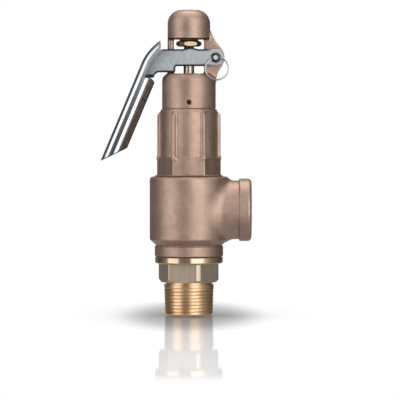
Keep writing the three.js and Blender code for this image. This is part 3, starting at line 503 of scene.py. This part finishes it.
turned_brass = turned_metal("turned_brass", (0.74, 0.51, 0.32), (0.63, 0.40, 0.22), 0.2)
bright_steel = drawn_steel("bright_steel", (0.62, 0.62, 0.63), 0.22, (900.0, 300.0, 900.0))
oiled_spring = drawn_steel("oiled_spring_steel", (0.30, 0.30, 0.32), 0.34, (1200.0, 1200.0, 500.0))
seat_plastic, plastic_shader = metal("seat_ptfe", (0.88, 0.87, 0.84), 0.45, metallic=0.0)
plastic_cloud = speckle(seat_plastic, object_place(seat_plastic), 900.0, 2.0)
seat_plastic.node_tree.links.new(
    between(seat_plastic, plastic_cloud, (0.85, 0.84, 0.80), (0.9, 0.89, 0.86)),
    plastic_shader.inputs["Base Color"])
inner_finishes = {
    "guide_bush": turned_brass, "valve_disc": turned_brass, "lower_spring_plate": turned_brass,
    "upper_spring_plate": turned_brass, "adjusting_screw": turned_brass,
    "adjusting_lock_nut": turned_brass, "seat_screw": bright_steel, "thrust_ball": bright_steel,
    "disc_pin": bright_steel, "seat_ring": seat_plastic}
for inner, finish in inner_finishes.items():
    nodes[inner].data.materials.clear()
    nodes[inner].data.materials.append(finish)


def wire_faces(rows, sides):
    """Skin of a wire of rows of side points, with its two ends closed."""
    skin = [[row * sides + side, row * sides + (side + 1) % sides,
             (row + 1) * sides + (side + 1) % sides, (row + 1) * sides + side]
            for row in range(rows - 1) for side in range(sides)]
    return skin + [list(range(sides))[::-1], list(range((rows - 1) * sides, rows * sides))]


# The first and the last turn lie nearly closed, and the rest share what is left of the height.
lower_face, upper_face = 77.0, 103.0
spring_turns, coil_radius, spring_wire_radius = 7, 8.9, 1.1
plate_gap, end_turn_gap = 0.3, 0.6
end_pitch = 2 * spring_wire_radius + end_turn_gap
spring_foot = lower_face + plate_gap + spring_wire_radius
spring_rise = upper_face - lower_face - 2 * (plate_gap + spring_wire_radius)
open_pitch = (spring_rise - 2 * end_pitch) / (spring_turns - 2)
spring_sides, steps_a_turn = 12, 40
spring_points = []
for step in range(spring_turns * steps_a_turn + 1):
    turn = step / steps_a_turn
    end_turns = min(turn, 1.0) + max(turn - (spring_turns - 1), 0.0)
    height = spring_foot + end_turns * end_pitch + (turn - end_turns) * open_pitch
    angle = turn * 2 * math.pi
    for side in range(spring_sides):
        around = -side * 2 * math.pi / spring_sides
        radius = coil_radius + spring_wire_radius * math.cos(around)
        spring_points.append((radius * math.cos(angle), radius * math.sin(angle),
                              height + spring_wire_radius * math.sin(around)))
spring_coil = piece("spring_coil", spring_points,
                    wire_faces(spring_turns * steps_a_turn + 1, spring_sides), oiled_spring, "valve",
                    ["main_spring"])
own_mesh(spring_coil)


# Spindle and its nuts: a turned brass rod that stands on the ball in the disc, carries the lower
# spring plate on its collar, and has a fine thread at the top. The lifting nut, which the lever
# pushes up, and its lock nut, painted near-black as shade, are screwed on there inside the cap's window.

rod_radius, collar_radius = 2.9, 4.7
collar_foot, collar_top = 72.0, 74.0
rod_thread_cut = 0.38
spindle_rows = [
    (2.5, 57.4), (rod_radius, 57.8), (rod_radius, collar_foot - 0.1), (3.0, collar_foot),
    (4.6, collar_foot), (collar_radius, collar_foot + 0.1), (collar_radius, collar_top - 0.1),
    (4.6, collar_top), (3.0, collar_top), (rod_radius, collar_top + 0.1), (rod_radius, 142.0)]
for height in np.arange(142.1, 153.1, 0.1):
    groove = 0.5 - 0.5 * math.cos(2 * math.pi * height)
    spindle_rows.append((rod_radius - rod_thread_cut * groove, height))
spindle_rows += [(2.5, 153.3), (2.2, 153.8), (2.1, 153.85)]
spindle_points, spindle_faces = rings_of(spindle_rows, 72)
pale_brass = turned_metal("pale_brass", (0.55, 0.49, 0.42), (0.48, 0.41, 0.33), 0.24)
piece("spindle_rod", spindle_points, spindle_faces, pale_brass, "stem", ["spindle"])

nut_sides = 144
nut_bore, countersink = 3.2, 3.7
chamfer_spread = 1.75


def nut(name, brass, flats, bottom, top, chamfer, turn, replaced):
    """Hexagon nut with its corners turned to a cone at both ends."""
    outer = hexagon_radius(flats, nut_sides)
    corner = float(outer.max())
    rows = [(nut_bore, bottom + 0.5), (3.5, bottom + 0.1), (countersink, bottom)]
    for rise in np.linspace(0, chamfer, 7):
        cone = corner - (chamfer - rise) * chamfer_spread
        rows.append((np.minimum(outer, cone), bottom + rise))
    for fall in np.linspace(0, chamfer, 7):
        cone = corner - fall * chamfer_spread
        rows.append((np.minimum(outer, cone), top - chamfer + fall))
    rows += [(countersink, top), (3.5, top - 0.1), (nut_bore, top - 0.5)]
    points, faces = rings_of(rows, nut_sides, turn, closed=True)
    piece(name, points, faces, brass, "stem", [replaced])


nut_brass = turned_metal("nut_brass", (0.48, 0.39, 0.25), (0.42, 0.32, 0.18), 0.26)
# The lock nut's brass is painted near-black as the shade under the dome.
lock_nut_shade_brass = turned_metal("lock_nut_shade_brass", (0.12, 0.09, 0.06), (0.08, 0.06, 0.04), 0.4)
nut("lifting_nut_brass", nut_brass, 12.0, 145.15, 148.25, 0.8, 8.0, "lifting_nut")
nut("lock_nut_brass", lock_nut_shade_brass, 10.0, 148.25, 151.05, 0.6, 30.0, "lifting_lock_nut")


# Cap: cast in bronze in one piece, a skirt over the bonnet's neck, an open window between a thin
# pillar and the ear that carries the lever's pin, and a hollow dome on top, whose lower lip is
# painted near-black as shade. A small grub screw in the skirt holds the cap on the neck.

skirt_radius, skirt_top = 14.5, 130.6
dome_radius, dome_foot, dome_lip, dome_top = 11.5, 149.1, 149.7, 165.0
web_half = 3.6
pin_out, pin_up, pin_hole = 14.4, 139.2, 2.5

skirt_outline = eased([
    (past_axis, shoulder_height), (14.2, shoulder_height, 0.1), (skirt_radius, 111.9, 0.2),
    (skirt_radius, skirt_top, 3.8), (past_axis, skirt_top)], steps=5)
dome_outline = eased([
    (past_axis, dome_foot), (11.1, dome_foot, 0.3), (dome_radius, dome_lip, 0.4),
    (dome_radius, dome_top, 8.1), (past_axis, dome_top)], steps=8)
ear_outline = eased([
    (8.1, 126.0), (14.4, 126.0), (14.7, 128.2), (15.2, 129.8), (15.8, 131.4), (16.8, 133.1),
    (17.9, 134.9), (18.7, 136.8), (19.1, 138.2), (19.2, 139.6), (18.95, 141.2), (18.3, 142.9),
    (17.2, 144.5), (16.0, 146.0), (14.4, 147.9), (12.9, 150.6), (11.5, 153.5), (8.1, 153.5)], 0.8)
pillar_outline = eased([(-14.0, 126.0), (-8.1, 126.0), (-8.1, 153.0), (-14.0, 153.0)], 0.1)
neck_bore = eased([
    (past_axis, 109.0), (12.2, 109.0), (12.2, 127.0, 0.4), (3.7, 127.0, 0.2), (3.7, 132.0),
    (past_axis, 132.0)])
dome_cavity = eased([(past_axis, 145.0), (8.2, 145.0), (8.2, 157.85, 1.5), (past_axis, 157.85)])


def cap_depth(x, y, z):
    radius, wide = np.hypot(x, y), np.abs(y)
    skirt, dome = outline_depth(radius, z, skirt_outline), outline_depth(radius, z, dome_outline)
    ear = hollowed(outline_depth(x, z, ear_outline), web_half - wide, 1.1)
    pillar = hollowed(outline_depth(x, z, pillar_outline), web_half - wide, 1.5)
    pillar = hollowed(pillar, dome_radius - radius, 1.2)
    form = joined(joined(joined(skirt, ear, 1.4), pillar, 1.4), dome, 1.4)
    turned_back = np.maximum(form, radius - dome_radius)
    form = np.where((x < 0) & (z > 136.0), turned_back, form)
    form = hollowed(form, outline_depth(radius, z, neck_bore), 0.3)
    form = hollowed(form, outline_depth(radius, z, dome_cavity), 0.5)
    form = hollowed(form, np.hypot(x - pin_out, z - pin_up) - pin_hole, 0.4)
    grub_hole = np.maximum(np.hypot(x, z - grub_height) - 1.25, y + 5.0)
    return hollowed(form, grub_hole, 0.3)


cap_casting = cast_piece("cap_casting", cap_depth, (-15.4, -15.4, 110.5), (20.2, 15.4, 166.0), 0.4,
                         cast_bronze, "valve", ["lever_cap"])
# The dome's lower lip is painted near-black as shade.
lip_shade_bronze = bead_blasted("lip_shade_bronze", (0.07, 0.045, 0.035), (0.05, 0.03, 0.02), 0.55)
cap_casting.data.materials.append(lip_shade_bronze)
for face in cap_casting.data.polygons:
    face_x, face_y, face_z = face.center * 1000
    on_lip = dome_foot - 0.1 < face_z < dome_lip + 0.02
    if on_lip and math.hypot(face_x, face_y) < dome_radius + 0.2:
        face.material_index = 1

grub_sides = 48
grub_radius, grub_end = 1.0, 13.7
grub_socket = hexagon_radius(0.95, grub_sides)
grub_rows = [
    (0.75, 10.5), (grub_radius, 10.8), (grub_radius, 13.55), (0.88, grub_end),
    (grub_socket + 0.06, grub_end), (grub_socket, 13.6), (grub_socket, 12.4)]
grub_points, grub_faces = rings_of(grub_rows, grub_sides)
level, upright, forward = grub_points.T
grub_points = np.stack([level, -forward, upright + grub_height + 0.015], axis=1)
# The grub screw is painted dark red-brown as the shade in its hole.
grub_shade_steel = drawn_steel("grub_shade_steel", (0.13, 0.05, 0.03), 0.4)
piece("grub_screw", grub_points, grub_faces, grub_shade_steel, "valve", ["cap_set_screw"])


# Lifting lever: 1.5 mm steel sheet, pressed to a channel whose two arms straddle the spindle under
# the lifting nut and run on to the pin, with the grip's edges rolled in to a narrow slit and its
# end cut level. It is chromed all over.

lean = math.radians(22.8)
down_back = np.array([-math.sin(lean), -math.cos(lean)])
into_lever = np.array([-down_back[1], down_back[0]])
back_start, nose_tip = np.array([-25.5, 136.5]), np.array([-15.3, 148.5])
nose_run = np.array([-math.cos(math.radians(35)), -math.sin(math.radians(35))])


def crossed(one, other):
    return one[0] * other[1] - one[1] * other[0]


# The lever's back runs straight over the nose, bends down in a curve and goes on straight.
to_bend = crossed(back_start - nose_tip, down_back) / crossed(nose_run, down_back)
nose_bend = nose_tip + nose_run * to_bend
back_line = [nose_tip - nose_run * 12]
for share in np.linspace(0, 1, 13):
    back_line.append((1 - share) ** 2 * nose_tip + 2 * share * (1 - share) * nose_bend
                     + share ** 2 * back_start)
back_line.append(back_start + down_back * 80)


def behind_back(x, z):
    """How deep a point lies inside the lever's back line."""
    nearest, depth = np.full(x.shape, 1e9), np.zeros(x.shape)
    for first, last in zip(back_line[:-1], back_line[1:]):
        run = last - first
        length = np.hypot(*run)
        along = np.clip(((x - first[0]) * run[0] + (z - first[1]) * run[1]) / length ** 2, 0, 1)
        distance = np.hypot(x - first[0] - run[0] * along, z - first[1] - run[1] * along)
        side = (x - first[0]) * -run[1] + (z - first[1]) * run[0]
        closer = distance < nearest - 1e-9
        nearest = np.where(closer, distance, nearest)
        depth = np.where(closer, np.where(side > 0, distance, -distance), depth)
    return depth


grip_top = back_start + down_back * 5.6
grip_end = back_start + down_back * 57.6
end_cut = math.radians(25.7)
arm_end_radius = 4.5
arm_end = [
    (pin_out + arm_end_radius * math.cos(angle), pin_up + arm_end_radius * math.sin(angle), 0)
    for angle in np.linspace(-math.pi / 2, math.pi / 2, 17)]
arm_outline = eased([
    *arm_end, (9.0, 143.75, 2.0), (4.9, 143.75, 1.5), (2.4, 144.45, 2.0), (0.9, 144.55, 1.0),
    (-0.6, 144.45, 2.0), (-3.1, 143.75, 1.5), (-15.3, 143.75, 0.4), (-15.3, 160.0), (-60.0, 160.0),
    tuple(grip_top - into_lever * 20), tuple(grip_top + into_lever * 4.7), (-22.9, 128.5, 0.3),
    (-18.9, 128.4, 0.6), (-18.7, 129.9, 1.5), (-16.8, 131.3, 1.5),
    (-7.3, 131.3, 0.8), (-7.3, 134.65, 0.8)], 0.3)


def along_grip(x, z):
    """How far down the grip a point lies from its top."""
    return (x - grip_top[0]) * down_back[0] + (z - grip_top[1]) * down_back[1]


def below_grip(x, z):
    """How far a point lies below the level cut at the grip's end."""
    return (x - grip_end[0]) * math.sin(end_cut) - (z - grip_end[1]) * math.cos(end_cut)


half_width, half_sheet = 5.5, 0.75
back_bend, grip_bend, grip_slant = 4.0, 3.8, math.radians(41)


def rolled_in(back, wide):
    """Depth in the side of the grip, which bends over and slants in towards the slit."""
    slant, bend = grip_slant, grip_bend
    flat = wide - half_width
    leaning = (back - 6.25) * math.sin(slant) + flat * math.cos(slant)
    across, over = back - 4.829, flat + bend
    bent = np.hypot(across, over) - bend
    past = across * math.cos(slant) > over * math.sin(slant)
    side = np.where(across <= 0, flat, np.where(past, leaning, bent))
    return hollowed(side, 10.8 - back, 1.2)


def lever_depth(x, y, z):
    """The arms' channel and the grip, joined, each a sheet on both sides of its middle surface."""
    back, wide, along = behind_back(x, z), np.abs(y), along_grip(x, z)
    inward, outward = back_bend - back, wide - (half_width - back_bend)
    corner = np.hypot(np.maximum(inward, 0), np.maximum(outward, 0))
    skin = corner + np.minimum(np.maximum(inward, outward), 0) - back_bend
    channel = np.abs(skin + half_sheet) - half_sheet
    channel = hollowed(channel, -outline_depth(x, z, arm_outline), 0.45)
    grip = np.where(back < 4.4, skin, rolled_in(back, wide))
    grip = np.abs(grip + half_sheet) - half_sheet
    slit = np.maximum(wide - 0.8, 6.5 - back)
    grip = hollowed(grip, slit, 0.45)
    above = np.where(back < 4.7, along, np.maximum(along, 128.7 - z))
    grip = hollowed(grip, above, 0.4)
    grip = hollowed(grip, 126.6 - 0.9 * (x + 18.6) - z, 1.6)
    grip = hollowed(grip, -below_grip(x, z), 0.45)
    form = joined(channel, grip, 0.5)
    return hollowed(form, np.hypot(x - pin_out, z - pin_up) - pin_hole, 0.3)


def passed(value, start, end):
    """0 before the start, 1 past the end, and evenly between them."""
    return np.clip((value - start) / (end - start), 0, 1)


def painted_lever_shade(x, z):
    """Painted shade and reflection on the chrome: 1 along the cut edges and in the throat, less where the
    sheet was bent, 0 elsewhere.
    """
    back, along = behind_back(x, z), along_grip(x, z)
    in_arms = z > 128.3
    gap = np.where(in_arms, np.abs(outline_depth(x, z, arm_outline)), 9.0)
    throat = passed(z, 130.6, 130.0) * passed(z, 128.2, 128.5) * passed(along, -3.2, -2.2)
    cut = np.maximum(passed(gap, 1.15, 0.7), throat) * passed(back, 4.4, 4.9)
    cut = cut * np.maximum(passed(x, 13.4, 9.4), 0.2)
    rim = 0.8 * passed(np.abs(below_grip(x, z)), 0.9, 0.5)
    rolled = 0.67 * passed(back, 6.6, 8.2) * passed(along, 0, 1)
    bent = (0.45 + 0.35 * passed(z, 124, 138)) * passed(back, 1.5, 1.0)
    flat = 0.62 * passed(z, 128, 92) * passed(np.abs(back - 4.1), 0.9, 0.4)
    nose = 0.6 * passed(np.abs(x + 15.3), 0.9, 0.4) * passed(z, 143.5, 144.5)
    plate = 0.6 * passed(back, 13, 4.5) ** 1.8 * passed(back, 3.9, 4.7)
    return np.max([cut, rim, rolled, bent, flat, nose, np.where(in_arms, plate, 0)], axis=0)


def reckoned(material, operation, first, second):
    """The outcome of one sum of two numbers in a material."""
    made = node_of(material, "ShaderNodeMath")
    made.operation = operation
    material.node_tree.links.new(first, made.inputs[0])
    material.node_tree.links.new(second, made.inputs[1])
    return made.outputs[0]


chrome_plate, chrome_shader = metal("chrome_plate", (0.72, 0.74, 0.77), 0.17)
chrome_links = chrome_plate.node_tree.links
chrome_place = object_place(chrome_plate)
chrome_wave = speckle(chrome_plate, chrome_place, 160.0, 2.0)
chrome_mist = speckle(chrome_plate, chrome_place, 700.0, 3.0)

# The plate's colour gets darker where it carries painted shade and painted reflection.
lever_shade_input = node_of(chrome_plate, "ShaderNodeAttribute")
lever_shade_input.attribute_name = "painted_lever_shade"
unshaded_share = spread(chrome_plate, lever_shade_input.outputs["Fac"], 1.0, 0.07, 0.0, 1.0)
plate_tint = between(chrome_plate, chrome_mist, (0.66, 0.70, 0.73), (0.71, 0.75, 0.78))
shaded_plate_colour = node_of(chrome_plate, "ShaderNodeVectorMath")
shaded_plate_colour.operation = "SCALE"
chrome_links.new(plate_tint, shaded_plate_colour.inputs[0])
chrome_links.new(unshaded_share, shaded_plate_colour.inputs["Scale"])
chrome_links.new(shaded_plate_colour.outputs["Vector"], chrome_shader.inputs["Base Color"])

# The grip is polished bright, and the arms above it are left satin.
chrome_height = node_of(chrome_plate, "ShaderNodeSeparateXYZ")
chrome_links.new(chrome_place, chrome_height.inputs[0])
satin = spread(chrome_plate, chrome_height.outputs["Z"], 0.09, 0.33, 0.112, 0.136, "SMOOTHSTEP")
misted = spread(chrome_plate, chrome_mist, 0.85, 1.15)
chrome_links.new(reckoned(chrome_plate, "MULTIPLY", satin, misted), chrome_shader.inputs["Roughness"])
relief(chrome_plate, chrome_shader, chrome_wave, 0.05, 0.4)

lever_pressing = cast_piece("lever_pressing", lever_depth, (-49.0, -6.4, 82.4), (20.0, 6.4, 149.6),
                            0.36, chrome_plate, "lever", ["lift_lever"])
# Each point of the pressing keeps its share of painted shade and painted reflection.
lever_points = np.array([vertex.co for vertex in lever_pressing.data.vertices]) * 1000
lever_shade_values = painted_lever_shade(lever_points[:, 0], lever_points[:, 2]).astype(np.float32)
lever_shade_layer = lever_pressing.data.attributes.new("painted_lever_shade", "FLOAT", "POINT")
lever_shade_layer.data.foreach_set("value", lever_shade_values)


# Pivot pin and split ring: a bright steel pin with a flat head behind, pushed through both arms
# and the ear. The ring is two turns of flat wire through the cross hole in the pin's front end,
# and keeps the pin in.

pin_radius, pin_head_radius = 2.2, 3.5
pin_front, pin_head_front, pin_back = -8.9, 5.8, 7.4
cross_hole, cross_hole_radius = -7.6, 1.05
hang = math.radians(6.5)
pin_outline = eased([
    (-10, pin_front), (pin_radius, pin_front, 0.5), (pin_radius, pin_head_front, 0.1),
    (pin_head_radius, pin_head_front, 0.15), (pin_head_radius, pin_back, 0.5), (-10, pin_back)])


def pin_depth(x, y, z):
    across, up = x - pin_out, z - pin_up
    form = outline_depth(np.hypot(across, up), y, pin_outline)
    from_bore = np.hypot(y - cross_hole, across * math.sin(hang) + up * math.cos(hang))
    return hollowed(form, from_bore - cross_hole_radius, 0.2)


pin_steel = cast_piece("pin_steel", pin_depth, (10.4, -9.6, 135.2), (18.4, 8.2, 143.2), 0.2,
                       bright_steel, "pin", ["pivot_pin"])
pin_steel.data.materials.append(drawn_steel("shaded_steel", (0.09, 0.09, 0.08), 0.4))
pin_steel.data.materials.append(drawn_steel("ground_steel", (0.8, 0.79, 0.76), 0.5))
in_arm, ground_spot = -5.8, 1.2
for face in pin_steel.data.polygons:
    face_x, face_y, face_z = face.center * 1000
    from_middle = math.hypot(face_x - pin_out, face_z - pin_up)
    if face_y < in_arm:
        face.material_index = 1 if from_middle > ground_spot else 2

# The wire lies where the frame's own ring hangs, in the plane of that ring's two longest axes.
ring_node = nodes["split_ring"]
ring_cloud = np.array([vertex.co for vertex in ring_node.data.vertices]) * 1000
ring_middle = ring_cloud.mean(axis=0)
ring_axes = np.linalg.svd(ring_cloud - ring_middle, full_matrices=False)[2]
ring_radius, wire_half_width, wire_half_height = 6.2, 0.4, 0.2
wire_sides, wire_steps = 10, 240
ring_points = []
for step in range(wire_steps + 1):
    share = step / wire_steps
    angle = share * 4 * math.pi + 0.6
    out = math.cos(angle) * ring_axes[0] + math.sin(angle) * ring_axes[1]
    rise = wire_half_height * math.tanh((share - 0.5) * 24)
    for side in range(wire_sides):
        turn = side * 2 * math.pi / wire_sides
        reach = ring_radius + wire_half_width * math.cos(turn)
        height = rise + wire_half_height * math.sin(turn)
        ring_points.append(ring_middle + out * reach + ring_axes[2] * height)
piece("ring_wire", ring_points, wire_faces(wire_steps + 1, wire_sides), bright_steel, "ring",
      ["split_ring"])


# Floor, lights and camera: a pale glossy table, two tall soft boxes in front, one overhead, and
# dark and grey cards round the set, which give metal its bright bands and dark edges. The camera
# stands level with the valve's middle, far off, as for a catalogue picture.

def card(name, corners, strength):
    """Card of even light from a strip of corners, seen only in reflections."""
    mesh = bpy.data.meshes.new(name)
    strip = [[corner, corner + 1, corner + 3, corner + 2] for corner in range(0, len(corners) - 2, 2)]
    mesh.from_pydata(corners, [], strip)
    made = bpy.data.objects.new(name, mesh)
    bpy.context.scene.collection.objects.link(made)
    material = bpy.data.materials.new(name)
    material.use_nodes = True
    material.node_tree.nodes.clear()
    glow = node_of(material, "ShaderNodeEmission", Color=(strength, strength, strength, 1.0), Strength=1.0)
    out = node_of(material, "ShaderNodeOutputMaterial")
    material.node_tree.links.new(glow.outputs["Emission"], out.inputs["Surface"])
    mesh.materials.append(material)
    made.visible_camera = False
    made.visible_shadow = False
    made.visible_diffuse = False


# Round the valve, in metres and in degrees from the front. Turning right is positive.
set_radius, set_low, set_high = 2.2, -0.9, 2.2


def curved_card(name, first, last, bottom, strength):
    corners = []
    for azimuth in np.radians(np.linspace(first, last, 13)):
        x, y = set_radius * math.sin(azimuth), -set_radius * math.cos(azimuth)
        corners += [(x, y, bottom), (x, y, set_high)]
    card(name, corners, strength)


grey_cards = (
    (-165, -132, 0.22), (-132, -108, 0.1), (-108, -92, 0.17), (-92, -76, 0.3), (-36, 7, 0.21),
    (52, 62, 0.72), (62, 75, 0.42), (75, 92, 0.26), (92, 112, 0.17), (112, 165, 0.1))
for first, last, strength in grey_cards:
    card_name = f"card_{first}_to_{last}".replace("-", "minus_")
    curved_card(card_name, first, last, set_low, strength)
curved_card("card_behind", 165, 195, 0.35, 0.12)


def level_card(name, back, height, strength):
    corners = [(x, y, height) for x in (-set_radius, set_radius) for y in (-set_radius, back)]
    card(name, corners, strength)


level_card("card_low", set_radius, set_low, 0.4)
level_card("card_ceiling", 0.2, set_high + 0.1, 0.7)

valve_middle = Vector((0.0, 0.0, 0.09))


def soft_box(name, azimuth, height, distance, width, tall, power):
    light = bpy.data.lights.new(name, "AREA")
    light.shape = "RECTANGLE"
    light.size, light.size_y = width, tall
    light.energy = power
    made = bpy.data.objects.new(name, light)
    angle = math.radians(azimuth)
    made.location = (distance * math.sin(angle), -distance * math.cos(angle), height)
    made.rotation_euler = (valve_middle - made.location).to_track_quat("-Z", "Y").to_euler()
    bpy.context.scene.collection.objects.link(made)
    return made


soft_box("soft_box_left", -55, 0.45, 2.0, 1.55, 2.6, 8.2)
soft_box("soft_box_right", 29.5, 0.45, 2.0, 1.6, 2.6, 13)
soft_box("soft_box_top", 180, 2.1, 0.35, 1.4, 1.6, 9)
table_light = soft_box("table_light", 0, 0.9, 0.12, 0.3, 1.9, 7)
table_light.rotation_euler = (0.0, 0.0, 0.0)
table_light.visible_glossy = False

# The table is a flat disc of rings just under the valve's foot, without the outer ring's cover.
table_sides, table_height = 96, -0.2
table_rings = [(radius, table_height) for radius in (20.0, 200.0, 600.0)]
table_points, table_faces = rings_of(table_rings, table_sides)
table_faces = [face for face in table_faces if len(face) == 4] + [list(range(table_sides))]
floor_mesh = bpy.data.meshes.new("floor")
floor_mesh.from_pydata((table_points * 0.001).tolist(), [], table_faces)
floor = bpy.data.objects.new("floor", floor_mesh)
bpy.context.scene.collection.objects.link(floor)
floor.visible_glossy = False
pale_table = bpy.data.materials.new("pale_table")
pale_table.use_nodes = True
pale_table.node_tree.nodes.clear()
floor_mesh.materials.append(pale_table)
table_links = pale_table.node_tree.links


def table_fade(near, far, near_share, far_share, stretch=(1.0, 1.0, 1.0)):
    """A share that changes with the distance from the valve's foot, in metres."""
    distance = node_of(pale_table, "ShaderNodeVectorMath")
    distance.operation = "LENGTH"
    table_links.new(object_place(pale_table, stretch), distance.inputs[0])
    return spread(pale_table, distance.outputs["Value"], near_share, far_share, near, far, "SMOOTHSTEP")


def table_mix(share, first, second):
    mixed = node_of(pale_table, "ShaderNodeMixShader")
    table_links.new(share, mixed.inputs["Fac"])
    table_links.new(first.outputs[0], mixed.inputs[1])
    table_links.new(second.outputs[0], mixed.inputs[2])
    return mixed


matt_white = node_of(pale_table, "ShaderNodeBsdfDiffuse")
polish = node_of(pale_table, "ShaderNodeBsdfGlossy", Roughness=0.03)
# Painted shadow in the table's colour: the valve's ambient occlusion, and a soft ellipse stretched front
# to back.
hemmed_in = node_of(pale_table, "ShaderNodeAmbientOcclusion", Distance=0.25)
hemmed_in.samples = 8
contact_shade = spread(pale_table, hemmed_in.outputs["AO"], 0.6, 1.0, 0.35, 0.96)
foot_shade = table_fade(0.018, 0.046, 0.56, 1.0, (1.0, 0.3, 1.0))
table_shade = reckoned(pale_table, "MULTIPLY", contact_shade, foot_shade)
for table_layer in (matt_white, polish):
    table_links.new(table_shade, table_layer.inputs["Color"])
clear = node_of(pale_table, "ShaderNodeBsdfTransparent")
table_top = table_mix(table_fade(0.05, 0.4, 0.5, 0.33), matt_white, polish)
table_edge = table_mix(table_fade(0.37, 0.42, 0.0, 1.0, (3.0, 1.0, 1.0)), table_top, clear)
table_out = node_of(pale_table, "ShaderNodeOutputMaterial")
table_links.new(table_edge.outputs[0], table_out.inputs["Surface"])

# The studio's walls are white to the eye and in reflections, and light the valve less than that.
studio = bpy.data.worlds.new("white_studio")
bpy.context.scene.world = studio
studio.use_nodes = True
studio.node_tree.nodes.clear()
rays = node_of(studio, "ShaderNodeLightPath")
seen = rays.outputs["Is Camera Ray"]
for kind in ("Is Glossy Ray", "Is Transmission Ray"):
    seen = reckoned(studio, "MAXIMUM", seen, rays.outputs[kind])
dim = node_of(studio, "ShaderNodeBackground", Color=(1.0, 1.0, 1.0, 1.0), Strength=0.3)
white = node_of(studio, "ShaderNodeBackground", Color=(1.0, 1.0, 1.0, 1.0), Strength=1.0)
either = node_of(studio, "ShaderNodeMixShader")
studio_out = node_of(studio, "ShaderNodeOutputWorld")
studio.node_tree.links.new(seen, either.inputs["Fac"])
studio.node_tree.links.new(dim.outputs["Background"], either.inputs[1])
studio.node_tree.links.new(white.outputs["Background"], either.inputs[2])
studio.node_tree.links.new(either.outputs["Shader"], studio_out.inputs["Surface"])

camera_data = bpy.data.cameras.new("camera")
camera_data.sensor_width = 36.0
camera_data.lens = 288.0
camera = bpy.data.objects.new("camera", camera_data)
camera.location = (0.006, -1.73, 0.114)
camera_aim = Vector((0.006, 0.0, 0.0623))
camera.rotation_euler = (camera_aim - camera.location).to_track_quat("-Z", "Y").to_euler()
bpy.context.scene.collection.objects.link(camera)
bpy.context.scene.camera = camera
bpy.context.scene.view_settings.view_transform = "Standard"
